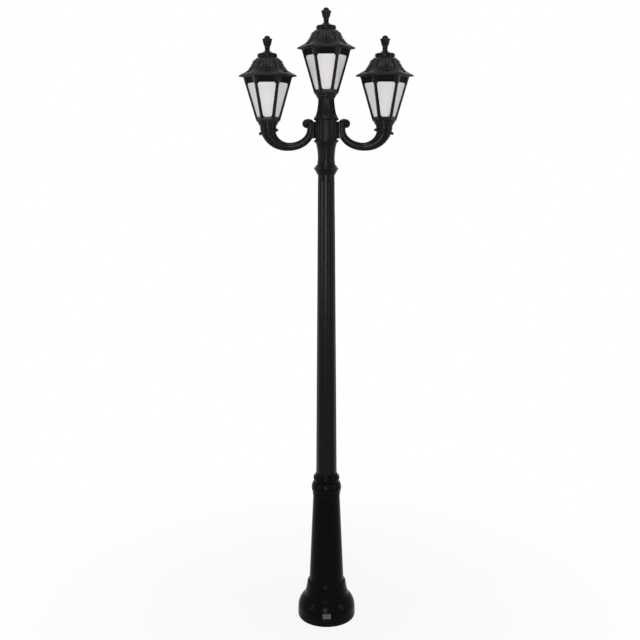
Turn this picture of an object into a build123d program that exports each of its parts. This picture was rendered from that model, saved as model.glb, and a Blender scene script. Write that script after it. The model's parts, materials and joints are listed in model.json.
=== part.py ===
from build123d import *
from math import acos, atan, atan2, cos, radians, sin, sqrt
import os

# Lamp post with one lantern on top and one on each of two scrolled arms.
# Millimetres, +Z up, origin on the ground at the middle of the foot, front towards -Y.

# Room between pieces
slip_gap = 0.2
thread_gap = 0.05
seat_gap = 0.1
turn_gap = 0.3
lift_gap = 0.2

# Ground plate and core tube
plate_radius = 95.0
plate_thickness = 8.0
anchor_circle = 140.0
anchor_hole_radius = 6.5
anchor_count = 4
core_radius = 24.15
core_wall = 3.0
plate_socket_wall = 6.0
plate_socket_height = 60.0
cable_hole_radius = 16.0
cable_entry_radius = 8.0
grommet_lip = 3.0

# Pedestal: foot and tapered column
pedestal_height = 530.0
pedestal_wall = 5.0
pedestal_top_plate = 6.0
foot_radius = 116.2
foot_floor_radius = 113.5
foot_edge_height = 8.0
foot_rim_height = 28.0
foot_shoulder_height = 93.0
foot_shoulder_bow = 8.5
flare_foot_radius = 91.0
flare_top_radius = 78.0
flare_height = 50.0
flare_lip_height = 12.0
column_foot_radius = 69.3
column_top_radius = 52.5
foot_edge_bow = 0.6
flare_bow = 1.0
column_foot_bow = 2.0

# Bare plate on the foot's front
blank_width = 33.0
blank_height = 22.0
blank_thickness = 3.0
blank_middle_height = 46.0
blank_proud = 0.2
blank_corner = 2.75

# Ring with two beads between column and shaft
lower_bead_radius = 59.5
lower_bead_height = 43.0
upper_bead_radius = 52.0
upper_bead_height = 31.0
bead_valley_radius = 48.0
bead_valley_height = 4.0
base_collar_floor = 26.0
base_collar_lip = 1.2

# Shaft
shaft_bare_length = 1173.0
shaft_foot_radius = 41.3
shaft_top_radius = 31.5
shaft_wall = 4.0
shaft_top_lap = 12.0
flute_count = 8
flute_width = 15.0
flute_depth = 2.2
flute_foot_margin = 8.0
flute_top_margin = 26.0

# Ring with a double cone at the shaft's top
shaft_collar_height = 52.0
shaft_collar_radius = 47.8
shaft_collar_lip = 1.5
shaft_collar_edge_rise = 25.5
shaft_collar_edge_half = 1.5
shaft_collar_edge_taper = 1.0
shaft_collar_bead_count = 2
shaft_collar_bead_pitch = 5.4
shaft_collar_bead_height = 3.2
shaft_collar_bead_bow = 0.8
shaft_collar_top_ring = 10.0

# Hub: socket, drum and neck
socket_height = 79.0
socket_radius = 32.2
socket_flare_radius = 41.0
socket_sleeve_height = 28.0
socket_bead_radius = 46.5
socket_bead_height = 11.0
socket_bead_step = 2.0
socket_flare_bow = 2.5
bead_round = 2.8
bead_bow = 0.6
drum_seat_lip = 1.5
socket_top_plate = 17.0
hub_cable_radius = 12.0
drum_height = 70.0
drum_radius = 42.0
drum_bore_radius = 32.0
drum_flat = 30.0
drum_rib_count = 18
drum_groove_radius = 3.4
drum_groove_depth = 2.2
neck_height = 77.0
neck_bead_radius = 47.5
neck_bead_height = 11.0
neck_foot_radius = 44.0
neck_waist_radius = 31.0
neck_top_band = 5.0
neck_band_step = 0.5
neck_bell_lap = 1.0
neck_bell_curve = ((1.0, 0.0), (0.55, 0.2), (0.2, 0.48), (0.0, 1.0))
neck_panel_count = 8
neck_panel_depth = 0.7
hub_stud_radius = 2.5
hub_stud_circle = 25.0
hub_stud_bite = 8.0
hub_stud_count = 3

# Arms
stem_reach = 57.75
stem_radius = 14.2
arm_low_radius = 15.3
arm_end_radius = 31.0
lantern_reach = 217.0
arm_dip = 26.0
lantern_bend_share = 0.427
arm_end_straight = 6.0
arm_bore_radius = 7.0
lead_entry_drop = 12.0
lead_bend = 16.0
lead_straight = 4.0
block_lead_bend = 12.0
pad_width = 24.0
pad_seat = 37.5
pad_margin = 4.0
scroll_radius = 17.0
scroll_reach = 73.0
scroll_half_width = 12.5
scroll_eye_radius = 6.5
scroll_eye_proud = 2.0
scroll_shoulder_bow = 8.0
end_ring_radius = 38.5
end_ring_half_height = 6.2
end_ring_turn = 80.0
arm_bolt_radius = 3.0
arm_bolt_length = 22.0
arm_bolt_head = 4.0
arm_bolt_flats = 10.0
arm_bolt_heights = (16.0, 36.0)

# Wiring
lead_radius = 2.5
block_length = 32.0
block_width = 16.0
block_height = 16.0
block_lead_spacing = 10.0
block_corner = 2.0

# Lantern cup and lampholder, heights from the lantern's own seat
spigot_radius = 22.0
spigot_height = 11.0
cup_height = 20.0
cup_foot_radius = 31.0
cup_rim_radius = 41.0
cup_top_plate = 3.0
cup_edge = 2.0
cup_edge_step = 0.5
cup_bow = 2.0
nipple_radius = 5.0
nipple_bore_radius = 3.5
nipple_tail = 1.0
holder_nut_flats = 17.0
holder_nut_height = 4.0
holder_radius = 20.0
holder_height = 46.0
holder_neck_radius = 18.0
holder_step_height = 26.0
holder_step_slope = 2.0
holder_bore_radius = 13.7
holder_bore_depth = 26.0
holder_lead_depth = 10.0

# Lamp with a screw cap
bulb_cap_radius = 13.3
bulb_cap_height = 27.0
bulb_cap_wall = 1.2
bulb_tip_radius = 6.6
bulb_cone_height = 5.0
bulb_tip_wall = 4.0
bulb_radius = 30.0
bulb_length = 110.0
bulb_glass = 1.5
bulb_neck_radius = 14.5

# Cage and panes
cage_height = 161.0
cage_floor = 4.0
cage_wall = 5.0
cage_foot_radius = 44.4
cage_top_radius = 91.5
window_foot_rise = 14.0
window_head_drop = 20.0
window_foot_margin = 7.5
window_head_margin = 7.8
window_chamfer = 6.6
window_foot_fillet = 6.0
pane_thickness = 2.5
pane_lap = 2.4
gasket_thickness = 2.0
gasket_width = 6.0

# Roof, crown and finial
roof_wall = 3.5
eave_lip_height = 5.5
eave_radius = 107.3
roof_knee_radius = 70.5
roof_knee_rise = 25.0
roof_shoulder_radius = 56.0
roof_shoulder_drop = 11.0
roof_top_radius = 42.0
roof_top_rise = 67.0
roof_side_bow = 0.7
roof_shoulder_bow = 2.2
roof_brim_drop = 2.1
skirt_margin = 1.0
roof_boss_radius = 10.0
roof_boss_height = 12.0
crown_radius = 36.8
crown_band_radius = 34.0
crown_band_height = 6.5
crown_rim_height = 9.0
crown_height = 20.0
crown_nose_radius = 19.0
crown_band_chamfer = 1.5
crown_rim_bow = 0.8
crown_nose_bow = 1.5
finial_stud_radius = 4.0
finial_stud_gap = 0.1
finial_stud_clear = 2.0
finial_foot_radius = 16.5
finial_foot_height = 8.3
finial_foot_bow = 1.8
finial_neck_radius = 6.6
finial_neck_step = 1.5
finial_ball_gap = 1.7
finial_ball_height = 6.5
finial_ball_bow = 2.2
finial_collar_radius = 9.3
finial_collar_slope = 1.2
finial_collar_height = 5.9
finial_urn_foot_radius = 12.3
finial_urn_radius = 17.0
finial_urn_height = 16.0
finial_urn_curve = ((0.0, 0.0), (0.6, 0.5), (1.0, 1.0))
finial_urn_foot_bow = 0.5
finial_lip_radius = 18.0
finial_lip_height = 3.2
finial_dome_radius = 15.3
finial_dome_height = 13.8
finial_dome_bow = 4.0
finial_tip_radius = 1.5
urn_flute_count = 10
urn_flute_depth = 0.8

# Grub screws
grub_angles = (45.0, 135.0)
collar_grub_radius = 3.0
collar_grub_length = 16.0
hub_grub_radius = 3.0
hub_grub_height = 18.0
cup_grub_radius = 2.0
cup_grub_height = 5.5

# Heights worked out from the ground up
column_foot_height = foot_shoulder_height + flare_height + flare_lip_height
base_collar_height = lower_bead_height + bead_valley_height + upper_bead_height
shaft_seat_z = pedestal_height + base_collar_floor
shaft_bare_z = pedestal_height + base_collar_height
shaft_collar_z = shaft_bare_z + shaft_bare_length
shaft_top_z = shaft_collar_z + shaft_top_lap
socket_z = shaft_collar_z + shaft_collar_height
drum_z = socket_z + socket_height
neck_z = drum_z + drum_height
centre_seat_z = neck_z + neck_height
arm_span = lantern_reach - stem_reach
lantern_bend = lantern_bend_share * arm_span
arm_low_z = drum_z - arm_dip
side_seat_z = arm_low_z + lantern_bend + arm_end_straight
lead_entry_z = neck_z - lead_entry_drop
stem_bend = lead_entry_z - arm_low_z - lead_straight - lead_bend
core_top_z = socket_z + socket_height - socket_top_plate - turn_gap
core_bore = core_radius + slip_gap

# Places worked out in the lantern, from its seat up
cos_thirty = cos(radians(30))
cage_z = cup_height
cage_top_z = cage_z + cage_height
cage_spread = (cage_top_radius - cage_foot_radius) / cage_height
cage_lean = atan(cage_spread * cos_thirty)
wall_level = cage_wall / cos(cage_lean)
holder_z = cage_z + cage_floor
holder_top_z = holder_z + holder_height
bulb_z = holder_top_z - holder_bore_depth + turn_gap
roof_seat_z = cage_top_z + gasket_thickness + lift_gap
eave_z = cage_top_z
roof_knee_z = eave_z + roof_knee_rise
roof_top_z = eave_z + roof_top_rise
crown_z = roof_top_z + seat_gap
finial_z = crown_z + crown_height + turn_gap

lanterns = {
    "left": (-lantern_reach, side_seat_z),
    "centre": (0.0, centre_seat_z),
    "right": (lantern_reach, side_seat_z),
}


def outline(corners):
    """Closed face in the XZ plane. A third value bows the line to that corner out to its right."""
    edges = []
    for start, end in zip(corners, corners[1:] + corners[:1]):
        (x0, z0), (x1, z1) = start[:2], end[:2]
        if len(end) == 2:
            edges.append(Line((x0, 0, z0), (x1, 0, z1)))
            continue
        reach = sqrt((x1 - x0) ** 2 + (z1 - z0) ** 2)
        middle = ((x0 + x1) / 2 + end[2] * (z1 - z0) / reach, 0, (z0 + z1) / 2 - end[2] * (x1 - x0) / reach)
        edges.append(ThreePointArc((x0, 0, z0), middle, (x1, 0, z1)))
    return make_face(edges)


def turned(corners):
    """Solid of revolution about Z from (radius, height) corners."""
    return revolve(outline(corners), Axis.Z)


def tube(outer, inner, low, high):
    """Upright pipe, or a rod where inner is 0."""
    pipe = Pos(0, 0, low) * Cylinder(outer, high - low, align=(Align.CENTER, Align.CENTER, Align.MIN))
    if inner > 0:
        pipe -= Pos(0, 0, low) * Cylinder(inner, high - low, align=(Align.CENTER, Align.CENTER, Align.MIN))
    return pipe


def radial_rod(radius, start, end, height, angle):
    """Rod that points away from the Z axis."""
    rod = Cylinder(radius, end - start, align=(Align.CENTER, Align.CENTER, Align.MIN))
    return Rot(0, 0, angle) * Pos(start, 0, height) * Rot(0, 90, 0) * rod


def grub_screws(radius, start, end, height):
    """Grub screws at the back."""
    return [radial_rod(radius, start, end, height, angle) for angle in grub_angles]


def hex_face(radius, height):
    """Level hexagon with a corner on +X."""
    corners = [(radius * cos(radians(60 * k)), radius * sin(radians(60 * k)), height) for k in range(6)]
    return make_face(Polyline(*corners, close=True))


def hex_frustum(low_radius, low, high_radius, high):
    """Six-sided tapered block."""
    return loft([hex_face(low_radius, low), hex_face(high_radius, high)], ruled=True)


def six_sided(half_outline):
    """Six-sided solid whose facets all follow one half outline of (apothem, height) corners."""
    mirrored = [(-x, z) for x, z, *_ in reversed(half_outline)]
    bows = [corner[2] if len(corner) == 3 else None for corner in half_outline]
    for index, bow in enumerate(reversed(bows[1:])):
        if bow is not None:
            mirrored[index + 1] += (bow,)
    face = outline(half_outline + mirrored)
    slab = extrude(face, amount=half_outline[0][0] * 2, both=True)
    block = Rot(0, 0, 30) * slab
    for angle in (90, 150):
        block = block & (Rot(0, 0, angle) * slab)
    return block


def make_anchor_plate():
    """Ground plate with a welded socket for the core tube."""
    socket_radius_outside = core_bore + plate_socket_wall
    plate = tube(plate_radius, cable_hole_radius, 0, plate_thickness)
    plate += tube(socket_radius_outside, core_bore, plate_thickness, plate_thickness + plate_socket_height)
    for index in range(anchor_count):
        hole = Pos(anchor_circle / 2, 0, 0) * Cylinder(anchor_hole_radius, plate_thickness * 4)
        plate -= Rot(0, 0, 45 + 360 / anchor_count * index) * hole
    return plate


def make_cable_grommet():
    """Rubber ring in the plate's cable hole, with a lip above it."""
    outside = cable_hole_radius - seat_gap
    return turned([
        (cable_entry_radius, 0),
        (outside, 0),
        (outside, plate_thickness + seat_gap),
        (outside + grommet_lip, plate_thickness + seat_gap),
        (outside + grommet_lip, plate_thickness + seat_gap + grommet_lip),
        (cable_entry_radius, plate_thickness + seat_gap + grommet_lip),
    ])


def make_core_tube():
    """Steel tube from the ground plate up into the hub."""
    return tube(core_radius, core_radius - core_wall, plate_thickness + seat_gap, core_top_z)


def blank_pocket(room):
    """Block of the foot's bare plate, grown by room on its sides."""
    front = foot_radius - blank_proud
    block = Box(blank_width + 2 * room, blank_thickness, blank_height + 2 * room)
    return Pos(0, blank_thickness / 2 - front, blank_middle_height) * block


def make_pedestal():
    """Hollow foot and tapered column in one moulding."""
    wall = pedestal_wall
    flare_top = foot_shoulder_height + flare_height
    shell = turned([
        (foot_floor_radius - wall, 0),
        (foot_floor_radius, 0),
        (foot_radius, foot_edge_height, foot_edge_bow),
        (foot_radius, foot_rim_height),
        (flare_foot_radius, foot_shoulder_height, foot_shoulder_bow),
        (flare_top_radius, flare_top, -flare_bow),
        (column_foot_radius, column_foot_height, column_foot_bow),
        (column_top_radius, pedestal_height),
        (core_bore, pedestal_height),
        (core_bore, pedestal_height - pedestal_top_plate),
        (column_top_radius - wall, pedestal_height - pedestal_top_plate),
        (column_foot_radius - wall, column_foot_height - wall / 2),
        (flare_top_radius - wall, flare_top - wall / 2),
        (flare_foot_radius - wall, foot_shoulder_height - wall),
        (foot_radius - wall, foot_rim_height, -foot_shoulder_bow),
        (foot_radius - wall, foot_edge_height),
    ])
    return shell - blank_pocket(slip_gap)


def make_blank_plate():
    """Bare plate let into the foot's front."""
    plate = blank_pocket(0)
    return fillet(plate.edges().filter_by(Axis.Y), blank_corner)


def make_base_collar():
    """Ring with two beads, seated on the column, that holds the shaft's foot."""
    z = pedestal_height + seat_gap
    valley_z = z + lower_bead_height
    upper_z = valley_z + bead_valley_height
    top_z = pedestal_height + base_collar_height
    collar_bore = shaft_foot_radius + slip_gap
    top_radius = collar_bore + base_collar_lip
    lower_bow = lower_bead_radius - (column_top_radius + bead_valley_radius) / 2
    upper_bow = upper_bead_radius - (bead_valley_radius + top_radius) / 2
    collar = turned([
        (core_bore, z),
        (column_top_radius, z),
        (bead_valley_radius, valley_z, lower_bow),
        (bead_valley_radius, upper_z),
        (top_radius, top_z, upper_bow),
        (collar_bore, top_z),
        (collar_bore, shaft_seat_z),
        (core_bore, shaft_seat_z),
    ])
    screw_z = (z + shaft_seat_z) / 2
    for hole in grub_screws(collar_grub_radius + thread_gap, core_radius, lower_bead_radius, screw_z):
        collar -= hole
    return collar


def make_collar_screws():
    """Grub screws that clamp the beaded ring on the core tube."""
    start = core_radius + seat_gap
    height = (pedestal_height + seat_gap + shaft_seat_z) / 2
    return grub_screws(collar_grub_radius, start, start + collar_grub_length, height)


def make_shaft():
    """Tapered tube with flutes that end in round heads, and a plain strip to the front and each side."""
    low = shaft_seat_z + seat_gap
    shaft = turned([
        (shaft_foot_radius - shaft_wall, low),
        (shaft_foot_radius, low),
        (shaft_top_radius, shaft_top_z),
        (shaft_top_radius - shaft_wall, shaft_top_z),
    ])
    taper = (shaft_foot_radius - shaft_top_radius) / (shaft_top_z - low)
    cutter_radius = (flute_width ** 2 / 4 + flute_depth ** 2) / (2 * flute_depth)
    round_end = flute_width / 2
    foot_z = shaft_bare_z + flute_foot_margin + round_end
    head_z = shaft_collar_z - flute_top_margin - round_end
    axis_out = cutter_radius - flute_depth
    foot_point = Vector(shaft_foot_radius - taper * (foot_z - low) + axis_out, 0, foot_z)
    head_point = Vector(shaft_foot_radius - taper * (head_z - low) + axis_out, 0, head_z)
    run = head_point - foot_point
    cutter = Plane(foot_point, z_dir=run) * Cylinder(
        cutter_radius, run.length, align=(Align.CENTER, Align.CENTER, Align.MIN))
    cutter += Pos(foot_point) * Sphere(cutter_radius)
    cutter += Pos(head_point) * Sphere(cutter_radius)
    for index in range(flute_count):
        shaft -= Rot(0, 0, 360 / flute_count * (index + 0.5)) * cutter
    return shaft


def make_shaft_collar():
    """Ring with a double cone that centres the shaft's top on the core tube."""
    z = shaft_collar_z
    foot = shaft_top_radius + slip_gap
    top = z + shaft_collar_height - seat_gap
    edge = z + shaft_collar_edge_rise
    edge_side = shaft_collar_radius - shaft_collar_edge_taper
    ring_radius = socket_radius + shaft_collar_lip
    ring_z = top - shaft_collar_top_ring
    bead_step = (edge_side - ring_radius) / (shaft_collar_bead_count + 1)
    beads = []
    for index in range(shaft_collar_bead_count):
        bead_radius = edge_side - bead_step * (index + 1)
        bead_z = edge + shaft_collar_edge_half + shaft_collar_bead_pitch * (index + 0.5)
        beads.append((bead_radius, bead_z))
        beads.append((bead_radius, bead_z + shaft_collar_bead_height, shaft_collar_bead_bow))
    return turned([
        (foot, z),
        (foot + shaft_collar_lip, z),
        (edge_side, edge - shaft_collar_edge_half),
        (shaft_collar_radius, edge),
        (edge_side, edge + shaft_collar_edge_half),
        *beads,
        (ring_radius, ring_z),
        (ring_radius, top, shaft_collar_bead_bow),
        (core_bore, top),
        (core_bore, shaft_top_z + seat_gap),
        (foot, shaft_top_z + seat_gap),
    ])


def make_hub_socket():
    """Sleeve over the core tube that widens to a bead."""
    z = socket_z
    bead_foot = drum_z - socket_bead_height
    mouth_top = core_top_z + turn_gap
    socket = turned([
        (core_bore, z),
        (socket_radius, z),
        (socket_radius, z + socket_sleeve_height),
        (socket_flare_radius, bead_foot, -socket_flare_bow),
        (socket_flare_radius + socket_bead_step, bead_foot),
        (socket_bead_radius, bead_foot + bead_round, bead_bow),
        (socket_bead_radius, drum_z - bead_round),
        (drum_radius + drum_seat_lip, drum_z, bead_bow),
        (hub_cable_radius, drum_z),
        (hub_cable_radius, mouth_top),
        (core_bore, mouth_top),
    ])
    screw_z = z + hub_grub_height
    for hole in grub_screws(hub_grub_radius + thread_gap, core_radius, socket_bead_radius, screw_z):
        socket -= hole
    for hole in hub_stud_rods(thread_gap):
        socket -= hole
    return socket


def make_hub_screws():
    """Grub screws that clamp the head on the core tube."""
    start = core_radius + seat_gap
    return grub_screws(hub_grub_radius, start, socket_radius - seat_gap, socket_z + hub_grub_height)


def hub_stud_rods(room):
    """Studs from the socket up into the neck, grown by room."""
    rods = []
    for index in range(hub_stud_count):
        rod = tube(hub_stud_radius + room, 0, drum_z - hub_stud_bite - room, neck_z + hub_stud_bite + room)
        rods.append(Rot(0, 0, 90 + 360 / hub_stud_count * index) * Pos(hub_stud_circle, 0, 0) * rod)
    return rods


def arm_pad(side, room):
    """Block between drum and arm, grown by room on its sides."""
    low = drum_z + pad_margin - room
    high = neck_z - pad_margin + room
    start = pad_seat - (seat_gap if room else 0)
    block = Box(stem_reach - start, pad_width + 2 * room, high - low)
    return Pos(side * (start + stem_reach) / 2, 0, (low + high) / 2) * block


def arm_bolt_rods(radius, start, end):
    """Rods along both arms' bolts."""
    return [
        radial_rod(radius, start, end, drum_z + height, angle)
        for angle in (0, 180)
        for height in arm_bolt_heights
    ]


def make_hub_drum():
    """Ribbed drum with a flat seat for each arm."""
    drum = tube(drum_radius, 0, drum_z + seat_gap, neck_z - seat_gap)
    groove_out = drum_radius + drum_groove_radius - drum_groove_depth
    groove = Pos(groove_out, 0, 0) * tube(drum_groove_radius, 0, drum_z, neck_z)
    for index in range(drum_rib_count):
        drum -= Rot(0, 0, 360 / drum_rib_count * (index + 0.5)) * groove
    room = tube(drum_bore_radius, 0, drum_z, neck_z)
    room = room & Pos(0, 0, drum_z) * Box(
        2 * drum_flat, 4 * drum_radius, drum_height, align=(Align.CENTER, Align.CENTER, Align.MIN))
    drum -= room
    for side in (-1, 1):
        drum -= arm_pad(side, slip_gap)
    for angle in (0, 180):
        drum -= radial_rod(arm_bore_radius, 0, drum_radius * 1.5, lead_entry_z, angle)
    for hole in arm_bolt_rods(arm_bolt_radius + thread_gap, 0, drum_radius):
        drum -= hole
    return drum


def scalloped(radius, depth, count, height):
    """Level face with hollow sides between ridges, one hollow side to the front."""
    step = 360 / count
    inner = radius * cos(radians(step / 2)) - depth
    arcs = []
    for index in range(count):
        ridge = radians(-90 + step * (index - 0.5))
        middle = ridge + radians(step / 2)
        end = ridge + radians(step)
        arcs.append(ThreePointArc(
            (radius * cos(ridge), radius * sin(ridge), height),
            (inner * cos(middle), inner * sin(middle), height),
            (radius * cos(end), radius * sin(end), height)))
    return make_face(arcs)


def make_hub_neck():
    """Bell with scooped panels and a spigot for the middle lantern."""
    z = neck_z
    bell_z = z + neck_bead_height
    band_z = centre_seat_z - neck_top_band
    bell_low = bell_z - neck_bell_lap
    bell_rise = band_z + neck_bell_lap - bell_low
    bell = loft([
        scalloped(neck_waist_radius + (neck_foot_radius - neck_waist_radius) * share,
                  neck_panel_depth, neck_panel_count, bell_low + bell_rise * rise)
        for share, rise in neck_bell_curve
    ])
    bead = turned([
        (arm_bore_radius, z),
        (drum_radius + drum_seat_lip, z),
        (neck_bead_radius, z + bead_round, bead_bow),
        (neck_bead_radius, bell_z - bead_round),
        (neck_foot_radius, bell_z, bead_bow),
        (arm_bore_radius, bell_z),
    ])
    neck = bell + bead + tube(neck_waist_radius - neck_band_step, 0, band_z, centre_seat_z)
    neck += tube(spigot_radius, 0, centre_seat_z, centre_seat_z + spigot_height)
    neck -= tube(arm_bore_radius, 0, z - 1, centre_seat_z + spigot_height + 1)
    for hole in hub_stud_rods(thread_gap):
        neck -= hole
    return neck


def arm_route(start_x, start_z, end_z):
    """Line that an arm's bore and its lead share, from the drum to the lantern."""
    points = [
        (stem_reach, 0, lead_entry_z),
        (stem_reach, 0, arm_low_z),
        (lantern_reach, 0, arm_low_z),
        (lantern_reach, 0, end_z),
    ]
    bends = [lead_bend, stem_bend, lantern_bend]
    if start_z is None:
        return FilletPolyline((start_x, 0, lead_entry_z), *points, radius=bends)
    return FilletPolyline(
        (start_x, 0, start_z), (start_x, 0, lead_entry_z), *points, radius=[block_lead_bend] + bends)


def pipe_along(route, radius):
    """Round bar along a route."""
    return sweep(Plane(route @ 0, z_dir=route % 0) * Circle(radius), path=route)


def stem_bend_station(turn):
    """Point and direction on the arm's first bend."""
    t = radians(turn)
    point = (stem_reach + stem_bend * (1 - cos(t)), 0, arm_low_z + stem_bend * (1 - sin(t)))
    return point, (sin(t), 0, -cos(t))


def lantern_bend_station(turn):
    """Point and direction on the arm's second bend, below the lantern."""
    t = radians(turn)
    point = (lantern_reach - lantern_bend * (1 - sin(t)), 0, arm_low_z + lantern_bend * (1 - cos(t)))
    return point, (cos(t), 0, sin(t))


def disc_at(station, radius):
    """Round section square to the arm."""
    point, direction = station
    return Plane(point, x_dir=(0, 1, 0), z_dir=direction) * Circle(radius)


def make_arm():
    """Right arm: scroll, stem, swelling bend, bead ring and spigot, with a bore for the lead."""
    scroll_z = lead_entry_z
    stem_top = ((stem_reach, 0, scroll_z), (0, 0, -1))
    swell = arm_end_radius - arm_low_radius
    sections = [disc_at(stem_top, stem_radius)]
    thicken = arm_low_radius - stem_radius
    for turn in range(0, 91, 30):
        sections.append(disc_at(stem_bend_station(turn), stem_radius + thicken * turn / 90))
    for turn in range(0, 91, 15):
        sections.append(disc_at(lantern_bend_station(turn), arm_low_radius + swell * turn / 90))
    arm = loft(sections)
    arm += Pos(lantern_reach, 0, 0) * tube(arm_end_radius, 0, side_seat_z - arm_end_straight, side_seat_z)
    arm += Pos(lantern_reach, 0, 0) * tube(spigot_radius, 0, side_seat_z, side_seat_z + spigot_height)
    ring_point, ring_direction = lantern_bend_station(end_ring_turn)
    half = end_ring_half_height
    ring_core = end_ring_radius - half
    ring = turned([(0, -half), (ring_core, -half), (ring_core, half, half), (0, half)])
    arm += Plane(ring_point, x_dir=(0, 1, 0), z_dir=ring_direction) * ring
    back = stem_reach - stem_radius
    shoulder = outline([
        (back, arm_low_z + stem_bend),
        (stem_reach, arm_low_z + stem_bend),
        (scroll_reach, scroll_z),
        (scroll_reach, scroll_z + scroll_radius),
        (back, scroll_z, scroll_shoulder_bow),
    ])
    scroll = extrude(shoulder, amount=scroll_half_width, both=True)
    curl = Pos(scroll_reach, 0, scroll_z) * Rot(90, 0, 0)
    scroll += curl * Cylinder(scroll_radius, 2 * scroll_half_width)
    scroll += curl * Cylinder(scroll_eye_radius, 2 * (scroll_half_width + scroll_eye_proud))
    arm += scroll
    arm += arm_pad(1, 0)
    arm -= pipe_along(arm_route(pad_seat - 1, None, side_seat_z + spigot_height + 1), arm_bore_radius)
    for hole in arm_bolt_rods(arm_bolt_radius + thread_gap, 0, drum_flat + arm_bolt_length + turn_gap):
        arm -= hole
    return arm


def make_arm_bolts():
    """Hex bolts from inside the drum into the arms."""
    bolts = []
    for angle in (0, 180):
        for height in arm_bolt_heights:
            head = extrude(RegularPolygon(arm_bolt_flats / 2, 6, major_radius=False), arm_bolt_head)
            head = Rot(0, 0, angle) * Pos(drum_flat - seat_gap, 0, drum_z + height) * Rot(0, -90, 0) * head
            bolts.append(head + radial_rod(
                arm_bolt_radius, drum_flat - seat_gap, drum_flat + arm_bolt_length, drum_z + height, angle))
    return bolts


def make_terminal_block():
    """Block in the drum where the leads join."""
    block = Box(block_length, block_width, block_height, align=(Align.CENTER, Align.CENTER, Align.MIN))
    return Pos(0, 0, drum_z + seat_gap) * fillet(block.edges().filter_by(Axis.Z), block_corner)


def make_side_lead():
    """Right lantern's lead, from the terminal block through the arm to the lampholder."""
    start_z = drum_z + 2 * seat_gap + block_height
    end_z = side_seat_z + holder_z + holder_lead_depth - seat_gap
    return pipe_along(arm_route(block_lead_spacing, start_z, end_z), lead_radius)


def make_centre_lead():
    """Middle lantern's lead, straight up through the neck."""
    start_z = drum_z + 2 * seat_gap + block_height
    return tube(lead_radius, 0, start_z, centre_seat_z + holder_z + holder_lead_depth - seat_gap)


def make_cup():
    """Socket of a lantern."""
    mouth = spigot_radius + slip_gap
    plate_z = cup_height - cup_top_plate
    cup = turned([
        (mouth, seat_gap),
        (cup_foot_radius - cup_edge_step, seat_gap),
        (cup_foot_radius, cup_edge),
        (cup_rim_radius, cup_height - cup_edge, -cup_bow),
        (cup_rim_radius, cup_height - seat_gap),
        (nipple_radius + slip_gap, cup_height - seat_gap),
        (nipple_radius + slip_gap, plate_z),
        (mouth, plate_z),
    ])
    for hole in grub_screws(cup_grub_radius + thread_gap, spigot_radius, cup_rim_radius, cup_grub_height):
        cup -= hole
    return cup


def make_cup_screws():
    """Grub screws that clamp the cup on its spigot."""
    return grub_screws(cup_grub_radius, spigot_radius + seat_gap, cup_foot_radius - seat_gap, cup_grub_height)


def cage_radius(height):
    """Corner radius of the cage at a height above the lantern's seat."""
    return cage_foot_radius + cage_spread * (height - cage_z)


def window_plane():
    """Plane of the cage's facet that faces +X, at the foot of its window, with Y up the facet."""
    height = cage_z + window_foot_rise
    direction = (cos(cage_lean), 0, -sin(cage_lean))
    return Plane((cage_radius(height) * cos_thirty, 0, height), x_dir=(0, 1, 0), z_dir=direction)


def window_sizes():
    """Half width at the foot, half width at the head, and length up the facet."""
    foot_z = cage_z + window_foot_rise
    head_z = cage_top_z - window_head_drop
    foot = cage_radius(foot_z) / 2 - window_foot_margin
    head = cage_radius(head_z) / 2 - window_head_margin
    return foot, head, (head_z - foot_z) / cos(cage_lean)


def make_window_cutter():
    """Block that opens one window: canted at the head, rounded at the foot."""
    foot, head, length = window_sizes()
    cant = window_chamfer
    side = foot + (head - foot) * (length - cant) / length
    face = make_face(Polyline(
        (-foot, 0), (foot, 0), (side, length - cant), (head - cant, length),
        (cant - head, length), (-side, length - cant), close=True))
    face = fillet(face.vertices().sort_by(Axis.Y)[:2], window_foot_fillet)
    return extrude(window_plane() * face, amount=cage_wall * 2, both=True)


def make_cage():
    """Six-sided frame with a floor and open windows."""
    inset = wall_level / cos_thirty
    floor_z = cage_z + cage_floor
    cage = hex_frustum(cage_foot_radius, cage_z, cage_top_radius, cage_top_z)
    cage -= hex_frustum(cage_radius(floor_z) - inset, floor_z, cage_top_radius - inset, cage_top_z)
    cutter = make_window_cutter()
    for index in range(6):
        cage -= Rot(0, 0, 30 + 60 * index) * cutter
    return cage - tube(nipple_radius + slip_gap, 0, cage_z - 1, floor_z + 1)


def make_panes():
    """Six flat opal panes behind the windows."""
    foot, head, length = window_sizes()
    lap = pane_lap
    slope = (head - foot) / length
    face = make_face(Polyline(
        (-foot - lap + slope * lap, -lap), (foot + lap - slope * lap, -lap),
        (head + lap + slope * lap, length + lap), (-head - lap - slope * lap, length + lap), close=True))
    plane = window_plane().offset(-cage_wall - seat_gap)
    pane = extrude(plane * face, amount=-pane_thickness)
    return [Rot(0, 0, 30 + 60 * index) * pane for index in range(6)]


def make_gasket():
    """Six-sided seal on the cage's top edge."""
    inside = cage_top_radius - gasket_width / cos_thirty
    low = cage_top_z + seat_gap
    high = cage_top_z + gasket_thickness
    return hex_frustum(cage_top_radius, low, cage_top_radius, high) - hex_frustum(inside, low, inside, high)


def make_lampholder():
    """Screw lampholder with a threaded nipple below."""
    low = holder_z + seat_gap
    bore_z = holder_top_z - holder_bore_depth
    nipple_low = cup_height - cup_top_plate - holder_nut_height - nipple_tail
    return turned([
        (nipple_bore_radius, nipple_low),
        (nipple_radius, nipple_low),
        (nipple_radius, low),
        (holder_radius, low),
        (holder_radius, holder_z + holder_step_height),
        (holder_neck_radius, holder_z + holder_step_height + holder_step_slope),
        (holder_neck_radius, holder_top_z),
        (holder_bore_radius, holder_top_z),
        (holder_bore_radius, bore_z),
        (0, bore_z),
        (0, holder_z + holder_lead_depth),
        (nipple_bore_radius, holder_z + holder_lead_depth),
    ])


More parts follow.
